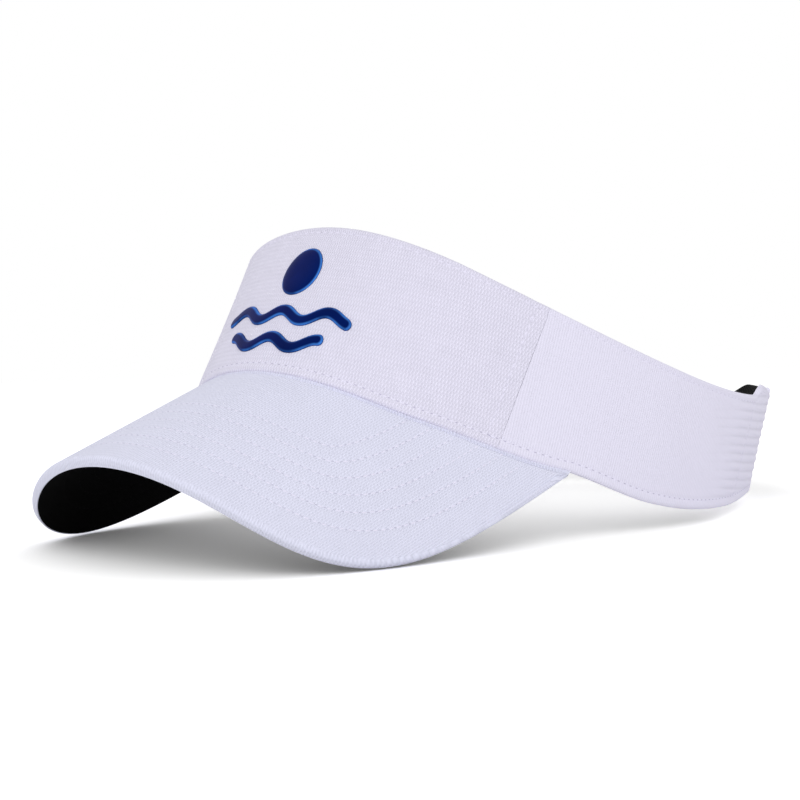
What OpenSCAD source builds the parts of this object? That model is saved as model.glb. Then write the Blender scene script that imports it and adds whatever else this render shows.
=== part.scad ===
// Sun visor: a structured cloth crown open at the top, an arched bill and a hook-and-loop strap.
// Lengths are millimetres. The visor stands on its bill and its rear corners, bill towards -Y,
// wearer's left towards +X, origin under the middle of the whole object.

/* [Crown] */
// Half of the crown's width, outside
half_width = 84; // [78:0.5:92]
// Distance from the widest point to the front of the crown
front_length = 122; // [112:0.5:132]
// Distance from the widest point to the back of the crown
back_length = 103; // [95:0.5:110]
// Radius of the round front of the crown
front_radius = 65; // [55:0.5:72]
// Radius of the round back of the crown
back_radius = 76.5; // [70:0.5:77]
// Backward lean of the front panel, degrees
front_lean = 12.4; // [8:0.2:18]
// Inward lean of the sides and back, degrees
side_lean = 0.2; // [0:0.1:2]
// Height of the top edge at the front
front_top = 55.8; // [50:0.2:62]
// Height of the top edge at the widest point
side_top = 43.9; // [40:0.1:50]
// Height that the top edge would reach at the middle of the back
back_top = 72.6; // [67:0.2:75]
// Angle of the side seam at its lower end, from the front
seam_low_angle = 62.5; // [58:0.5:67]
// Angle of the side seam at its upper end, from the front
seam_top_angle = 65; // [60:0.5:69]
// Thickness of the outer cloth panels
panel_thick = 1.2; // [0.8:0.1:1.6]

/* [Panel ends] */
// Half of the gap between the two panel ends, as an angle from the back
gap_half_angle = 48; // [42:0.5:52]
// Height of a panel at its end, before its lower corner is rounded
end_height = 40.7; // [38:0.1:46]
// Rise of the lower edge just behind the bill, degrees
behind_bill_rise = 2.7; // [0:0.1:5]
// Height of the rounded lower corner
corner_height = 14; // [8:0.5:16]
// Length of the rounded lower corner, as an angle
corner_angle = 25; // [16:1:28]
// Lift of the top edge at the panel ends
end_lift = 6.4; // [0:0.2:8]
// Length of that lift, as an angle
lift_angle = 45; // [10:1:60]

/* [Bill] */
// Length of the bill at its middle, along its slope
bill_length = 69; // [56:0.5:80]
// Downward slope of the bill, degrees
bill_slope = 41.7; // [34:0.1:46]
// Angle from the front at which the bill meets the crown's lower edge
root_angle = 72.5; // [68:0.5:78]
// Drop of the bill's arch at half of its width
arch_half_drop = 14.7; // [11:0.1:17]
// Drop of the bill's arch at its root ends
arch_end_drop = 71.4; // [64:0.2:76]
// Squareness of the bill's outline, 2 is an ellipse
outline_power = 3.5; // [2.4:0.02:4]
// Thickness of the cloth over and under the bill
cover_thick = 0.8; // [0.5:0.1:1]
// Thickness of the stiff board inside the bill
board_thick = 1.6; // [1:0.1:2.2]

/* [Inside] */
// Thickness of the stiffener behind the front panel
stiffener_thick = 0.8; // [0.5:0.1:1]
// Width of the tape over each side seam
tape_width = 12; // [8:0.5:14]
// Thickness of that tape
tape_thick = 0.6; // [0.4:0.1:0.9]
// Depth of the hem turned in at the top edge
hem_height = 10; // [7:0.5:12]
// Thickness of that hem and of the binding along the lower seam
hem_thick = 2; // [1.8:0.1:2.4]
// Height of the binding along the lower seam
binding_height = 6; // [4:0.5:7]
// Height of the sweatband
sweatband_height = 32; // [26:0.5:34]
// Thickness of the sweatband
sweatband_thick = 1.4; // [1:0.1:2]
// Height of the foam behind the forehead
padding_height = 22; // [16:0.5:24]
// Half of the foam's length, as an angle from the front
padding_angle = 52; // [40:1:58]
// Angle from the front at which the hem, binding and sweatband stop
lining_angle = 104; // [98:0.5:105]

/* [Strap] */
// Width of the strap
strap_width = 25; // [20:0.5:26]
// Distance of the strap's top edge below the top of the panel ends
strap_drop = 2.2; // [1.5:0.1:3]
// Thickness of the strap
strap_thick = 1.4; // [1:0.1:1.6]
// Clearance of the strap inside the left panel
strap_room = 1.3; // [1.2:0.1:1.6]
// Thickness of the hook patch and of the loop patch
patch_thick = 0.95; // [0.6:0.05:1.1]
// Margin of strap around each patch
patch_margin = 1.5; // [1:0.1:4]
// Thickness of the tongue that carries the loop patch
tongue_thick = 1.2; // [0.8:0.1:1.6]
// Angle of the fold where the strap's tail is peeled up, from the back
fold_angle = 25; // [22:0.5:28]
// Angle of the tongue's end, past the middle of the back
tongue_end_angle = 20; // [14:0.5:21]
// Length of tongue sewn inside the right panel, as an angle
tongue_hold = 9; // [6:0.5:12]
// Length over which the tongue steps inwards, as an angle
tongue_step = 7; // [6:0.5:9]
// Travel of the strap to each side, degrees
strap_travel = 8; // [4:0.5:8]
// Length of strap left in its pocket when it is let out, as an angle
pocket_grip = 6; // [4:0.5:6]
// Length of the pocket, as an angle
pocket_length = 12; // [8:0.5:13]
// Distance of the pocket's top edge below the strap's
pocket_drop = 1.8; // [1.5:0.1:6]
// Thickness of the pocket's wall and of its rail under the strap
pocket_wall = 1; // [0.8:0.1:1.5]

/* [Badge] */
// Radius of the sun
sun_radius = 9; // [6:0.5:10]
// Height of the sun's middle above the bill
sun_height = 38; // [34:0.5:40]
// Half length of the upper wave
upper_wave_half = 30; // [20:0.5:34]
// Height of the upper wave above the bill
upper_wave_height = 21.5; // [19:0.5:23]
// Half length of the lower wave
lower_wave_half = 22; // [14:0.5:28]
// Height of the lower wave above the bill
lower_wave_height = 11.5; // [9:0.5:13]
// Width of each wave's stroke
wave_stroke = 4.2; // [3:0.1:5]
// Rise and fall of each wave
wave_swing = 1.8; // [0.5:0.1:2.2]
// Length of one rise and fall
wave_pitch = 20; // [14:0.5:30]
// How far the badge stands out from the panel
badge_thick = 0.9; // [0.5:0.1:1.4]

/* [Hidden] */
$fn = 96;

// Clearances: between layers that lie on each other, and between parts that slide
layer_gap = 0.15;
glue_gap = 0.05;
badge_gap = 0.2;
slide_gap = 0.3;
// Space between the edges of pieces that lie beside each other behind the panels
side_gap = 1;

// Angular step of the curved sheets, degrees
sheet_step = 3.5;
// Rows of the bill between its edge and its root, and columns across it
bill_rows = 8;
bill_columns = 44;
// Crowding of the bill's columns towards its root ends
edge_crowding = 1.4;
// How far the cover and the board run towards the root ends, as a share of the root angle
cover_reach = 0.994;
board_reach = 0.95;
// Last columns round a side panel's lower corner, as shares of the corner's length
corner_shares = [0.14, 0.07, 0.025, 0];
// Columns of the sun to each side of its middle, and the angle that they sweep
sun_columns = 14;
sun_sweep = 85;
// Columns of a wave to each side of its middle, and how far its ends are rounded
wave_columns = 24;
wave_rounding = 0.9;
// Inset of the pocket and of the tongue's step from the panel ends, as an angle
end_inset = 1;
// Clearance between the tongue's step and the tail when it is drawn tight, as an angle
tail_clearance = 1.3;
// First guess of the standing tilt, and the rounds that settle it
first_tilt = 20;
tilt_rounds = 8;

// Crown outline: tangent arcs at the front, the sides and the back
front_centre = front_length - front_radius;
front_side_radius = side_arc_radius(front_centre, front_radius);
front_join = atan2(front_side_radius - half_width, front_centre);
back_centre = back_length - back_radius;
back_side_radius = side_arc_radius(back_centre, back_radius);
back_join = 180 - atan2(back_side_radius - half_width, back_centre);
end_angle = 180 - gap_half_angle;

// Top edge: a parabola through the three heights
top_curve = ((front_top - side_top) / front_length + (back_top - side_top) / back_length)
    / (front_length + back_length);
top_slope = (back_top - side_top) / back_length - top_curve * back_length;

// Bill: its outline, and its arch as a square and a fourth power through the two drops
root_end = crown_outline(root_angle);
bill_reach = front_length + bill_length * cos(bill_slope) + root_end.y;
arch_quartic = (arch_end_drop - 4 * arch_half_drop) / 12 / (root_end.x / 2) ^ 4;
arch_square = (arch_half_drop - arch_quartic * (root_end.x / 2) ^ 4) / (root_end.x / 2) ^ 2;
board_depth = cover_thick + layer_gap;
under_depth = board_depth + board_thick + layer_gap;
bill_thick = under_depth + cover_thick;
cover_inset = cover_thick + layer_gap + glue_gap;

// Lower edge behind the bill: a parabola from the bill's root to the panel's end
root_z = bill_height(root_end.x, root_end.y);
end_run = crown_outline(end_angle).y - root_end.y;
end_low = edge_parabola(end_angle) - end_height;
low_curve = (end_low - root_z - tan(behind_bill_rise) * end_run) / end_run ^ 2;
seat_gap = 2 * layer_gap;

// Layers behind the outer panels, as depths from the outer face
lining_depth = panel_thick + layer_gap;
padding_depth = lining_depth + stiffener_thick + layer_gap;
sweatband_depth = lining_depth + hem_thick + layer_gap;
padding_thick = sweatband_depth - padding_depth - layer_gap;
stack_low = binding_height + side_gap;
stack_top = hem_height + side_gap;
seam_gap_angle = layer_gap / 2 / front_side_radius * 180 / PI;
tape_half_angle = tape_width / 2 / front_side_radius * 180 / PI;
side_gap_angle = side_gap / front_side_radius * 180 / PI;

// Standing pose: the tilt that sets the bill's rim and the panels' lower edges on the ground
rim_points = [for (v = bill_shares(cover_reach)) bill_point(v, 0, 0, bill_thick)];
edge_points = [for (t = panel_angles(root_angle)) crown_point(t, lower_edge(t), 0)];
stand_tilt = rest_tilt(first_tilt, tilt_rounds);

// Strap: a cone about an upright axis, in line with the panel ends where it leaves them
end_seat = stood(crown_point(end_angle, (upper_edge(end_angle) + lower_edge(end_angle)) / 2, panel_thick));
end_normal = stood([sin(end_angle), -cos(end_angle), 0]);
end_flat = norm([end_normal.x, end_normal.y]);
strap_flare = -end_normal.z / end_flat;
strap_radius = end_seat.x * end_flat / end_normal.x - strap_room;
strap_axis = end_seat.y - (strap_radius + strap_room) * end_normal.y / end_flat;
strap_end_angle = atan2(end_normal.x, end_normal.y);
strap_top = stood(crown_point(end_angle, upper_edge(end_angle), 0)).z - strap_drop;
strap_low = strap_top - strap_width;
hook_depth = strap_thick + glue_gap;
loop_depth = hook_depth + patch_thick + slide_gap;
tongue_depth = loop_depth + patch_thick + glue_gap;
fold_gap_angle = slide_gap / strap_radius * 180 / PI;
patch_margin_angle = patch_margin / strap_radius * 180 / PI;
tongue_sewn_angle = -strap_end_angle - tongue_hold;
tongue_jog_start = -strap_end_angle - 2 * end_inset;
tongue_jog_end = tongue_jog_start + tongue_step;
tail_end_angle = tongue_jog_end + tail_clearance + strap_travel;
strap_start_angle = strap_end_angle + strap_travel + pocket_grip;
loop_end_angle = tongue_end_angle - patch_margin_angle;
hook_end_angle = loop_end_angle - patch_margin_angle;

// Standing pose: the lowest height and the ends of the length
stand_low = min(tilted_height(lowest(rim_points, stand_tilt), stand_tilt),
    tilted_height(lowest(edge_points, stand_tilt), stand_tilt));
stand_front = min([for (v = bill_shares(cover_reach)) stood(bill_point(v, 0, 0, 0)).y]);
stand_back = strap_axis + cone_radius(strap_top);

// Height of a point above the ground once the crown is tilted, and the lowest point of a list
function tilted_height(p, tilt) = p.z * cos(tilt) - p.y * sin(tilt);
function lowest(points, tilt) =
    let (heights = [for (p = points) tilted_height(p, tilt)], low = min(heights))
    [for (i = [0:len(points) - 1]) if (heights[i] == low) points[i]][0];

// Tilt at which the bill's rim and the panels' lower edges touch the ground together
function rest_tilt(tilt, rounds) =
    let (rim = lowest(rim_points, tilt), edge = lowest(edge_points, tilt))
    rounds <= 0 ? tilt : rest_tilt(atan2(edge.z - rim.z, edge.y - rim.y), rounds - 1);

// Radius of the side arc that joins the widest point to a round end
function side_arc_radius(centre, radius) =
    (half_width ^ 2 + centre ^ 2 - radius ^ 2) / (2 * (half_width - radius));

// A point of the crown frame turned into the standing pose, before it is moved to the origin
function stood(p) =
    [p.x, p.y * cos(stand_tilt) + p.z * sin(stand_tilt), tilted_height(p, stand_tilt)];

// Outline of the crown at angle t of its outward normal, from the front, wearer's left positive
function crown_outline(t) =
    let (a = abs(t), s = t < 0 ? -1 : 1,
        centre = a <= front_join ? [0, -front_centre]
            : a <= 90 ? [half_width - front_side_radius, 0]
            : a <= back_join ? [half_width - back_side_radius, 0]
            : [0, back_centre],
        radius = a <= front_join ? front_radius
            : a <= 90 ? front_side_radius
            : a <= back_join ? back_side_radius
            : back_radius)
    [s * (centre.x + radius * sin(a)), centre.y - radius * cos(a)];

// Inward lean of the crown's wall at angle t
function wall_lean(t) = side_lean + (front_lean - side_lean) * pow(max(cos(t), 0), 2);

// Point of the crown's wall at angle t, height z and depth d inside the outer face
function crown_point(t, z, d) =
    let (p = crown_outline(t), inward = tan(wall_lean(t)) * z + d)
    [p.x - sin(t) * inward, p.y + cos(t) * inward, z];

// Top edge of the panels, without and with the lift at their ends
function edge_parabola(t) = let (y = crown_outline(t).y) side_top + top_slope * y + top_curve * y ^ 2;
function upper_edge(t) =
    edge_parabola(t) + end_lift * max(0, 1 - (end_angle - abs(t)) / lift_angle) ^ 2;

// Upper surface of the bill
function bill_height(x, y) =
    (y + front_length) * tan(bill_slope) - arch_square * x ^ 2 - arch_quartic * x ^ 4;

// Rise of the rounded corner at the lower end of a side panel
function corner_rise(t) =
    let (run = min(1, max(0, 1 - (end_angle - abs(t)) / corner_angle)))
    corner_height * (1 - sqrt(1 - run ^ 2));

// Lower edge of the crown: it sits on the bill's root, then sweeps up to the panel's end
function lower_edge(t) =
    let (p = crown_outline(t), run = p.y - root_end.y)
    abs(t) <= root_angle
        ? bill_height(p.x, p.y) + seat_gap
        : root_z + seat_gap + tan(behind_bill_rise) * run + low_curve * run ^ 2 + corner_rise(t);

// Evenly spaced angles from t0 to t1
function angles(t0, t1) =
    let (n = max(2, ceil((t1 - t0) / sheet_step)))
    [for (i = [0:n]) t0 + (t1 - t0) * i / n];

// Angles of a side panel, closer together round its lower corner
function panel_angles(t0) =
    concat(angles(t0, end_angle - corner_angle / 4),
        [for (share = corner_shares) end_angle - corner_angle * share]);

// Point on the bill: v runs across from -1 to 1, u from the edge to the root, depth goes down
function bill_point(v, u, inset, depth) =
    let (bend = 90 * (1 - (1 - abs(v)) ^ edge_crowding), side = v < 0 ? -1 : 1,
        edge = [side * (root_end.x - inset) * sin(bend),
            root_end.y - (bill_reach - inset) * cos(bend) ^ (2 / outline_power)],
        p = edge + (crown_outline(v * root_angle) - edge) * u,
        slope = [2 * arch_square * p.x + 4 * arch_quartic * p.x ^ 3, -tan(bill_slope), 1])
    [p.x, p.y, bill_height(p.x, p.y)] - slope / norm(slope) * depth;

// Outer radius of the strap's cone at height z of the standing pose
function cone_radius(z) = strap_radius + strap_flare * (z - end_seat.z);

// Point of the strap's cone at angle a from the back, wearer's left positive, standing pose
function cone_point(a, z, d) =
    let (r = cone_radius(z) - d) [r * sin(a), strap_axis + r * cos(a), z];

// Point inside the crown's wall at height z of the standing pose
function stood_wall_point(t, z, d) =
    let (y = crown_outline(t).y + cos(t) * d)
    stood(crown_point(t, (z + y * sin(stand_tilt)) / cos(stand_tilt), d));

// Smooth step from 0 to 1
function smooth(f) = let (c = min(1, max(0, f))) c ^ 2 * (3 - 2 * c);

// Grid of crown points, each column from its lower to its upper end
function wall_grid(low, top, depth) =
    [for (i = [0:len(low) - 1])
        [crown_point(low[i].x, low[i].y, depth), crown_point(top[i].x, top[i].y, depth)]];

// Places of the bill's columns, from one root end to the other
function bill_shares(reach) = [for (i = [0:bill_columns]) reach * (i / bill_columns * 2 - 1)];

// Grid of bill points at one depth, from an edge inset to the root
function bill_grid(reach, inset, depth) =
    [for (v = bill_shares(reach)) [for (j = [0:bill_rows]) bill_point(v, j / bill_rows, inset, depth)]];

// Columns of the top cover: its lip under the bill's rim, then the sheet up to the root
function lipped_grid(inset, depth) =
    let (sheet_grid = bill_grid(cover_reach, inset, depth), shares = bill_shares(cover_reach))
    [for (i = [0:bill_columns]) concat([bill_point(shares[i], 0, inset, bill_thick)], sheet_grid[i])];

// Angles and heights at a rise above the lower edge, and at a fall below the upper edge
function above_lower(list, rise) = [for (t = list) [t, lower_edge(t) + rise]];
function below_upper(list, fall) = [for (t = list) [t, upper_edge(t) - fall]];

function flat_list(grid) = [for (row = grid) each row];
function two_triangles(a, b, c, d) = [[a, b, c], [a, c, d]];

// Closed sheet between an outer and an inner grid of points, both with the same rows and columns
module sheet(outer, inner) {
    columns = len(outer) - 1;
    rows = len(outer[0]) - 1;
    back = len(outer) * len(outer[0]);
    function o(i, j) = i * (rows + 1) + j;
    function n(i, j) = back + o(i, j);
    polyhedron(
        points = concat(flat_list(outer), flat_list(inner)),
        faces = [
            for (i = [0:columns - 1], j = [0:rows - 1])
                each concat(two_triangles(o(i, j), o(i, j + 1), o(i + 1, j + 1), o(i + 1, j)),
                    two_triangles(n(i, j), n(i + 1, j), n(i + 1, j + 1), n(i, j + 1))),
            for (i = [0:columns - 1])
                each concat(two_triangles(o(i, 0), o(i + 1, 0), n(i + 1, 0), n(i, 0)),
                    two_triangles(o(i, rows), n(i, rows), n(i + 1, rows), o(i + 1, rows))),
            for (j = [0:rows - 1])
                each concat(two_triangles(o(0, j), n(0, j), n(0, j + 1), o(0, j + 1)),
                    two_triangles(o(columns, j), o(columns, j + 1), n(columns, j + 1), n(columns, j)))],
        convexity = 6);
}

// Moves the standing pose to the origin
module to_origin() {
    translate([0, -(stand_front + stand_back) / 2, -stand_low]) children();
}

// Moves the crown frame to the standing pose, at the origin
module stand() {
    to_origin() rotate([-stand_tilt, 0, 0]) children();
}

// Outer cloth between two lists of angles, along its lower and its upper edge
module outer_cloth(low_angles, top_angles) {
    lows = [for (t = low_angles) [t, lower_edge(t)]];
    tops = [for (t = top_angles) [t, upper_edge(t)]];
    stand() sheet(wall_grid(lows, tops, 0), wall_grid(lows, tops, panel_thick));
}

// Layer behind the outer cloth, between two lists of angles and heights
module lining(lows, tops, depth, thick) {
    stand() sheet(wall_grid(lows, tops, depth), wall_grid(lows, tops, depth + thick));
}

// Part of the strap's cone between two angles, two depths and two heights
module strap_arc(from, to, outside, inside, low, high) {
    to_origin()
        translate([0, strap_axis, 0])
            rotate([0, 0, 90 - max(from, to)])
                rotate_extrude(angle = abs(from - to))
                    polygon([[cone_radius(low) - outside, low], [cone_radius(high) - outside, high],
                        [cone_radius(high) - inside, high], [cone_radius(low) - inside, low]]);
}

// Raised badge piece: columns of lower and upper heights along the front panel
module raised(columns) {
    function side(depth) =
        [for (c = columns)
            let (t = c[0] / front_radius * 180 / PI)
            [crown_point(t, c[1], depth), crown_point(t, c[2], depth)]];
    stand() sheet(side(-badge_gap - badge_thick), side(-badge_gap));
}

// One stroke of the badge's waves
module wave(half, height) {
    raised([for (i = [-wave_columns:wave_columns])
        let (s = half * i / wave_columns, mid = height + wave_swing * cos(s / wave_pitch * 360),
            stroke = wave_stroke / 2 * sqrt(1 - wave_rounding * (i / wave_columns) ^ 4))
        [s, mid - stroke, mid + stroke]]);
}

module front_panel() {
    steps = ceil(2 * seam_top_angle / sheet_step);
    function spread(half) = [for (i = [0:steps]) (half - seam_gap_angle) * (2 * i / steps - 1)];
    color("white") outer_cloth(spread(seam_low_angle), spread(seam_top_angle));
}

module left_side_panel() {
    color("white") side_panel();
}

module right_side_panel() {
    color("white") mirror([1, 0, 0]) side_panel();
}

// Wearer's left side panel, from the side seam to its rounded end
module side_panel() {
    low_list = panel_angles(seam_low_angle + seam_gap_angle);
    seam_slant = seam_top_angle - seam_low_angle;
    span = end_angle - low_list[0];
    outer_cloth(low_list, [for (t = low_list) t + seam_slant * (end_angle - t) / span]);
}

module front_stiffener() {
    half = seam_low_angle - tape_half_angle - side_gap_angle;
    list = angles(-half, half);
    color("whitesmoke")
        lining(above_lower(list, stack_low), below_upper(list, stack_top), lining_depth, stiffener_thick);
}

module left_seam_tape() {
    color("white") seam_tape();
}

module right_seam_tape() {
    color("white") mirror([1, 0, 0]) seam_tape();
}

// Tape that covers the side seam from inside
module seam_tape() {
    middle = (seam_low_angle + seam_top_angle) / 2;
    list = angles(middle - tape_half_angle, middle + tape_half_angle);
    lining(above_lower(list, stack_low), below_upper(list, stack_top), lining_depth, tape_thick);
}

module top_hem() {
    list = angles(-lining_angle, lining_angle);
    color("white")
        lining(below_upper(list, hem_height), below_upper(list, layer_gap), lining_depth, hem_thick);
}

module bill_seam_binding() {
    list = angles(-lining_angle, lining_angle);
    color("black") lining(above_lower(list, 0), above_lower(list, binding_height), lining_depth, hem_thick);
}

module sweatband_padding() {
    list = angles(-padding_angle, padding_angle);
    color("dimgray")
        lining(above_lower(list, stack_low), above_lower(list, stack_low + padding_height), padding_depth,
            padding_thick);
}

module sweatband() {
    list = angles(-lining_angle, lining_angle);
    color("black")
        lining(above_lower(list, 0), above_lower(list, sweatband_height), sweatband_depth, sweatband_thick);
}

module bill_top_cover() {
    color("white") stand() sheet(lipped_grid(0, 0), lipped_grid(cover_thick, cover_thick));
}

module bill_board() {
    color("gainsboro") bill_layer(board_depth, board_thick);
}

module bill_under_cover() {
    color("black") bill_layer(under_depth, cover_thick);
}

// Layer inside the lip of the bill's top cover
module bill_layer(depth, thick) {
    stand()
        sheet(bill_grid(board_reach, cover_inset, depth), bill_grid(board_reach, cover_inset, depth + thick));
}

module left_strap_pocket() {
    near = strap_end_angle + end_inset;
    far = near + pocket_length;
    wall_outside = strap_thick + slide_gap;
    wall_inside = wall_outside + pocket_wall;
    rail_top = strap_low - slide_gap;
    rail_low = rail_top - pocket_wall;
    color("white") {
        strap_arc(near, far, wall_outside, wall_inside, rail_low, strap_top - pocket_drop);
        strap_arc(near, far, slide_gap - strap_room, wall_inside, rail_low, rail_top);
    }
}

module loop_tongue() {
    list = angles(tongue_sewn_angle, tongue_end_angle);
    function share(a) = smooth((a - tongue_jog_start) / (tongue_jog_end - tongue_jog_start));
    function wall_angle(a) = -180 - a * gap_half_angle / strap_end_angle;
    function place(a, z, d) =
        let (sewn = stood_wall_point(wall_angle(a), z, lining_depth + d),
            free = cone_point(a, z, tongue_depth + d))
        sewn + (free - sewn) * share(a);
    function side(d) =
        [for (k = [len(list) - 1:-1:0]) [place(list[k], strap_low, d), place(list[k], strap_top, d)]];
    color("black") to_origin() sheet(side(0), side(tongue_thick));
}

module loop_patch() {
    color("black")
        strap_arc(tongue_jog_end + patch_margin_angle, loop_end_angle, loop_depth,
            loop_depth + patch_thick, strap_low + patch_margin, strap_top - patch_margin);
}

module strap_anchor() {
    color("black")
        strap_arc(fold_angle, strap_start_angle, 0, strap_thick, strap_low, strap_top);
}

module strap_tail() {
    color("black")
        strap_arc(tail_end_angle, fold_angle - fold_gap_angle, 0, strap_thick, strap_low, strap_top);
}

module hook_patch() {
    color("black")
        strap_arc(tail_end_angle + patch_margin_angle, hook_end_angle, hook_depth,
            hook_depth + patch_thick, strap_low + patch_margin, strap_top - patch_margin);
}

module badge_sun() {
    color("midnightblue")
        raised([for (i = [-sun_columns:sun_columns])
            let (turn = sun_sweep * i / sun_columns, half = sun_radius * cos(turn))
            [sun_radius * sin(turn), sun_height - half, sun_height + half]]);
}

module badge_upper_wave() {
    color("midnightblue") wave(upper_wave_half, upper_wave_height);
}

module badge_lower_wave() {
    color("midnightblue") wave(lower_wave_half, lower_wave_height);
}

front_panel();
left_side_panel();
right_side_panel();
front_stiffener();
left_seam_tape();
right_seam_tape();
top_hem();
bill_seam_binding();
sweatband_padding();
sweatband();
bill_top_cover();
bill_board();
bill_under_cover();
left_strap_pocket();
loop_tongue();
loop_patch();
strap_anchor();
strap_tail();
hook_patch();
badge_sun();
badge_upper_wave();
badge_lower_wave();
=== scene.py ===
"""Sun visor: cloth crown, arched bill, lining, strap and badge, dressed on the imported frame."""

import logging
import math
from dataclasses import dataclass, field
from enum import Enum
from typing import Any, Callable, Sequence

import bpy
import numpy as np
from mathutils import Matrix


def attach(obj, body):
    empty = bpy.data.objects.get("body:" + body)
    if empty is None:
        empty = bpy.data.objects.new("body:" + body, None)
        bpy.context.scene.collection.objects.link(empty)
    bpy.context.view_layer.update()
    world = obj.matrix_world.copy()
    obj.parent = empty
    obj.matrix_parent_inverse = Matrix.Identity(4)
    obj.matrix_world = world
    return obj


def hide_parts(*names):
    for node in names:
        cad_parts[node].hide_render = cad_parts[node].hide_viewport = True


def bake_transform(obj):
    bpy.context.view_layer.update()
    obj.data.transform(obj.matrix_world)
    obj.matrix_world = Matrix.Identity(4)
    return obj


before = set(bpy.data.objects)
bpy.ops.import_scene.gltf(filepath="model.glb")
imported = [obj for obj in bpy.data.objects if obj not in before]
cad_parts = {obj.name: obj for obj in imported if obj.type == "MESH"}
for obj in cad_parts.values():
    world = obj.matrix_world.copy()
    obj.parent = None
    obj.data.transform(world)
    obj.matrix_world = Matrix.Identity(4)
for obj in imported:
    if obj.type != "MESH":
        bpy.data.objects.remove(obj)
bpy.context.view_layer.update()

LOG = logging.getLogger("sun_visor")
MM = 0.001
MERGE_REACH = 0.000004
SMOOTH_ANGLE = 60.0
BEVEL_ANGLE = 50.0
TURN = 2.0 * math.pi
QUARTER = math.pi / 2.0
UV_NAME = "cloth"
UV_SPAN = 600.0
UV_MIDDLE = UV_SPAN / 2.0
UV_RISE = 40.0
PUCKER_PITCH = 2.9
PUCKER_FALL = 0.11
PUCKER_START = 178.0
PUCKER_FOOT = 4.0
WHITE = (1.0, 1.0, 1.0, 1.0)

Array = np.ndarray
Pair = tuple[Array, Array]
Piece = bpy.types.Object
Material = bpy.types.Material
Node = bpy.types.Node
Socket = bpy.types.NodeSocket
Colour = tuple[int, int, int]


def smooth(share: Array) -> Array:
    """Smooth step from 0 to 1."""
    held = np.clip(share, 0.0, 1.0)
    return held * held * (3.0 - 2.0 * held)


def roll(distance: Array, radius: Array | float) -> Array:
    """How far a surface has turned in at a distance from its rounded edge, mm."""
    left = np.clip(radius - distance, 0.0, radius)
    return radius - np.sqrt(np.maximum(radius * radius - left * left, 0.0))


def line_distance(points: Array, line: Array) -> Array:
    """Distance from points to a polyline.

    Args:
        points: Points, (n, 2) or (n, 3).
        line: Corners of the polyline, (m, 2) or (m, 3).

    Returns:
        The n shortest distances.
    """
    starts = line[:-1]
    runs = line[1:] - starts
    squares = np.maximum((runs * runs).sum(1), 1e-12)
    found = np.empty(len(points))
    for first in range(0, len(points), 3000):
        part = points[first : first + 3000]
        offset = part[:, None, :] - starts[None]
        share = np.clip((offset * runs[None]).sum(2) / squares, 0.0, 1.0)
        gap = offset - share[..., None] * runs[None]
        found[first : first + 3000] = np.sqrt((gap * gap).sum(2).min(1))
    return found


def hump(distance: Array, width: float) -> Array:
    """A round hump of height 1 that falls off over a width."""
    return np.exp(-((distance / width) ** 2))


def columns_of(values: Array, count: int) -> Array:
    """Values of a sheet's columns, the same in each of its rows."""
    return np.repeat(values[:, None], count, 1)


def rows_of(values: Array, count: int) -> Array:
    """Values of a sheet's rows, the same in each of its columns."""
    return np.repeat(values[None], count, 0)


def left_of(line: Array) -> Array:
    """Directions to the left of a line in flat cloth."""
    run = np.gradient(line, axis=0)
    return unit(np.stack([-run[:, 1], run[:, 0]], -1))


def reach_along(line: Array) -> Array:
    """Length from the start of a line to each of its points."""
    return np.concatenate([[0.0], np.cumsum(np.linalg.norm(np.diff(line, axis=0), axis=1))])


def unit(vectors: Array) -> Array:
    """Vectors of length 1."""
    return vectors / np.maximum(np.linalg.norm(vectors, axis=-1, keepdims=True), 1e-12)


class Body(Enum):
    """Bodies of the frame that pieces ride on."""

    CROWN = "crown"
    STRAP = "strap"
    TAIL = "tail"


class Weave(Enum):
    """Kinds of cloth surface."""

    PEBBLE = "pebble"
    RIB = "rib"
    CORD = "cord"
    TWILL = "twill"
    WEBBING = "webbing"
    LOOP = "loop"
    HOOK = "hook"
    MESH = "mesh"


class Wire:
    """A shader value whose arithmetic adds Math nodes."""

    def __init__(self, graph: "Graph", socket: Socket) -> None:
        """Wraps an output socket of a graph."""
        self.graph = graph
        self.socket = socket

    def math(self, operation: str, *values: Any) -> "Wire":
        """The result of a Math node on some values."""
        made = self.graph.node("ShaderNodeMath", {"operation": operation}, dict(enumerate(values)))
        return Wire(self.graph, made.outputs[0])

    def __add__(self, other: Any) -> "Wire":
        """self + other."""
        return self.math("ADD", self, other)

    def __sub__(self, other: Any) -> "Wire":
        """self - other."""
        return self.math("SUBTRACT", self, other)

    def __rsub__(self, other: Any) -> "Wire":
        """other - self."""
        return self.math("SUBTRACT", other, self)

    def __mul__(self, other: Any) -> "Wire":
        """self * other."""
        return self.math("MULTIPLY", self, other)

    def __truediv__(self, other: Any) -> "Wire":
        """self / other."""
        return self.math("DIVIDE", self, other)

    def __pow__(self, other: Any) -> "Wire":
        """self to a power."""
        return self.math("POWER", self, other)

    def wave(self) -> "Wire":
        """A cosine wave of period 1, from -1 to 1."""
        return self.math("COSINE", self * TURN)

    def positive(self) -> "Wire":
        """The value, or 0 where it is below."""
        return self.math("MAXIMUM", self, 0.0)

    def held(self) -> "Wire":
        """The value, kept between 0 and 1."""
        return self.positive().smaller(1.0)

    def larger(self, other: Any) -> "Wire":
        """The larger of two values."""
        return self.math("MAXIMUM", self, other)

    def smaller(self, other: Any) -> "Wire":
        """The smaller of two values."""
        return self.math("MINIMUM", self, other)


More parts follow.
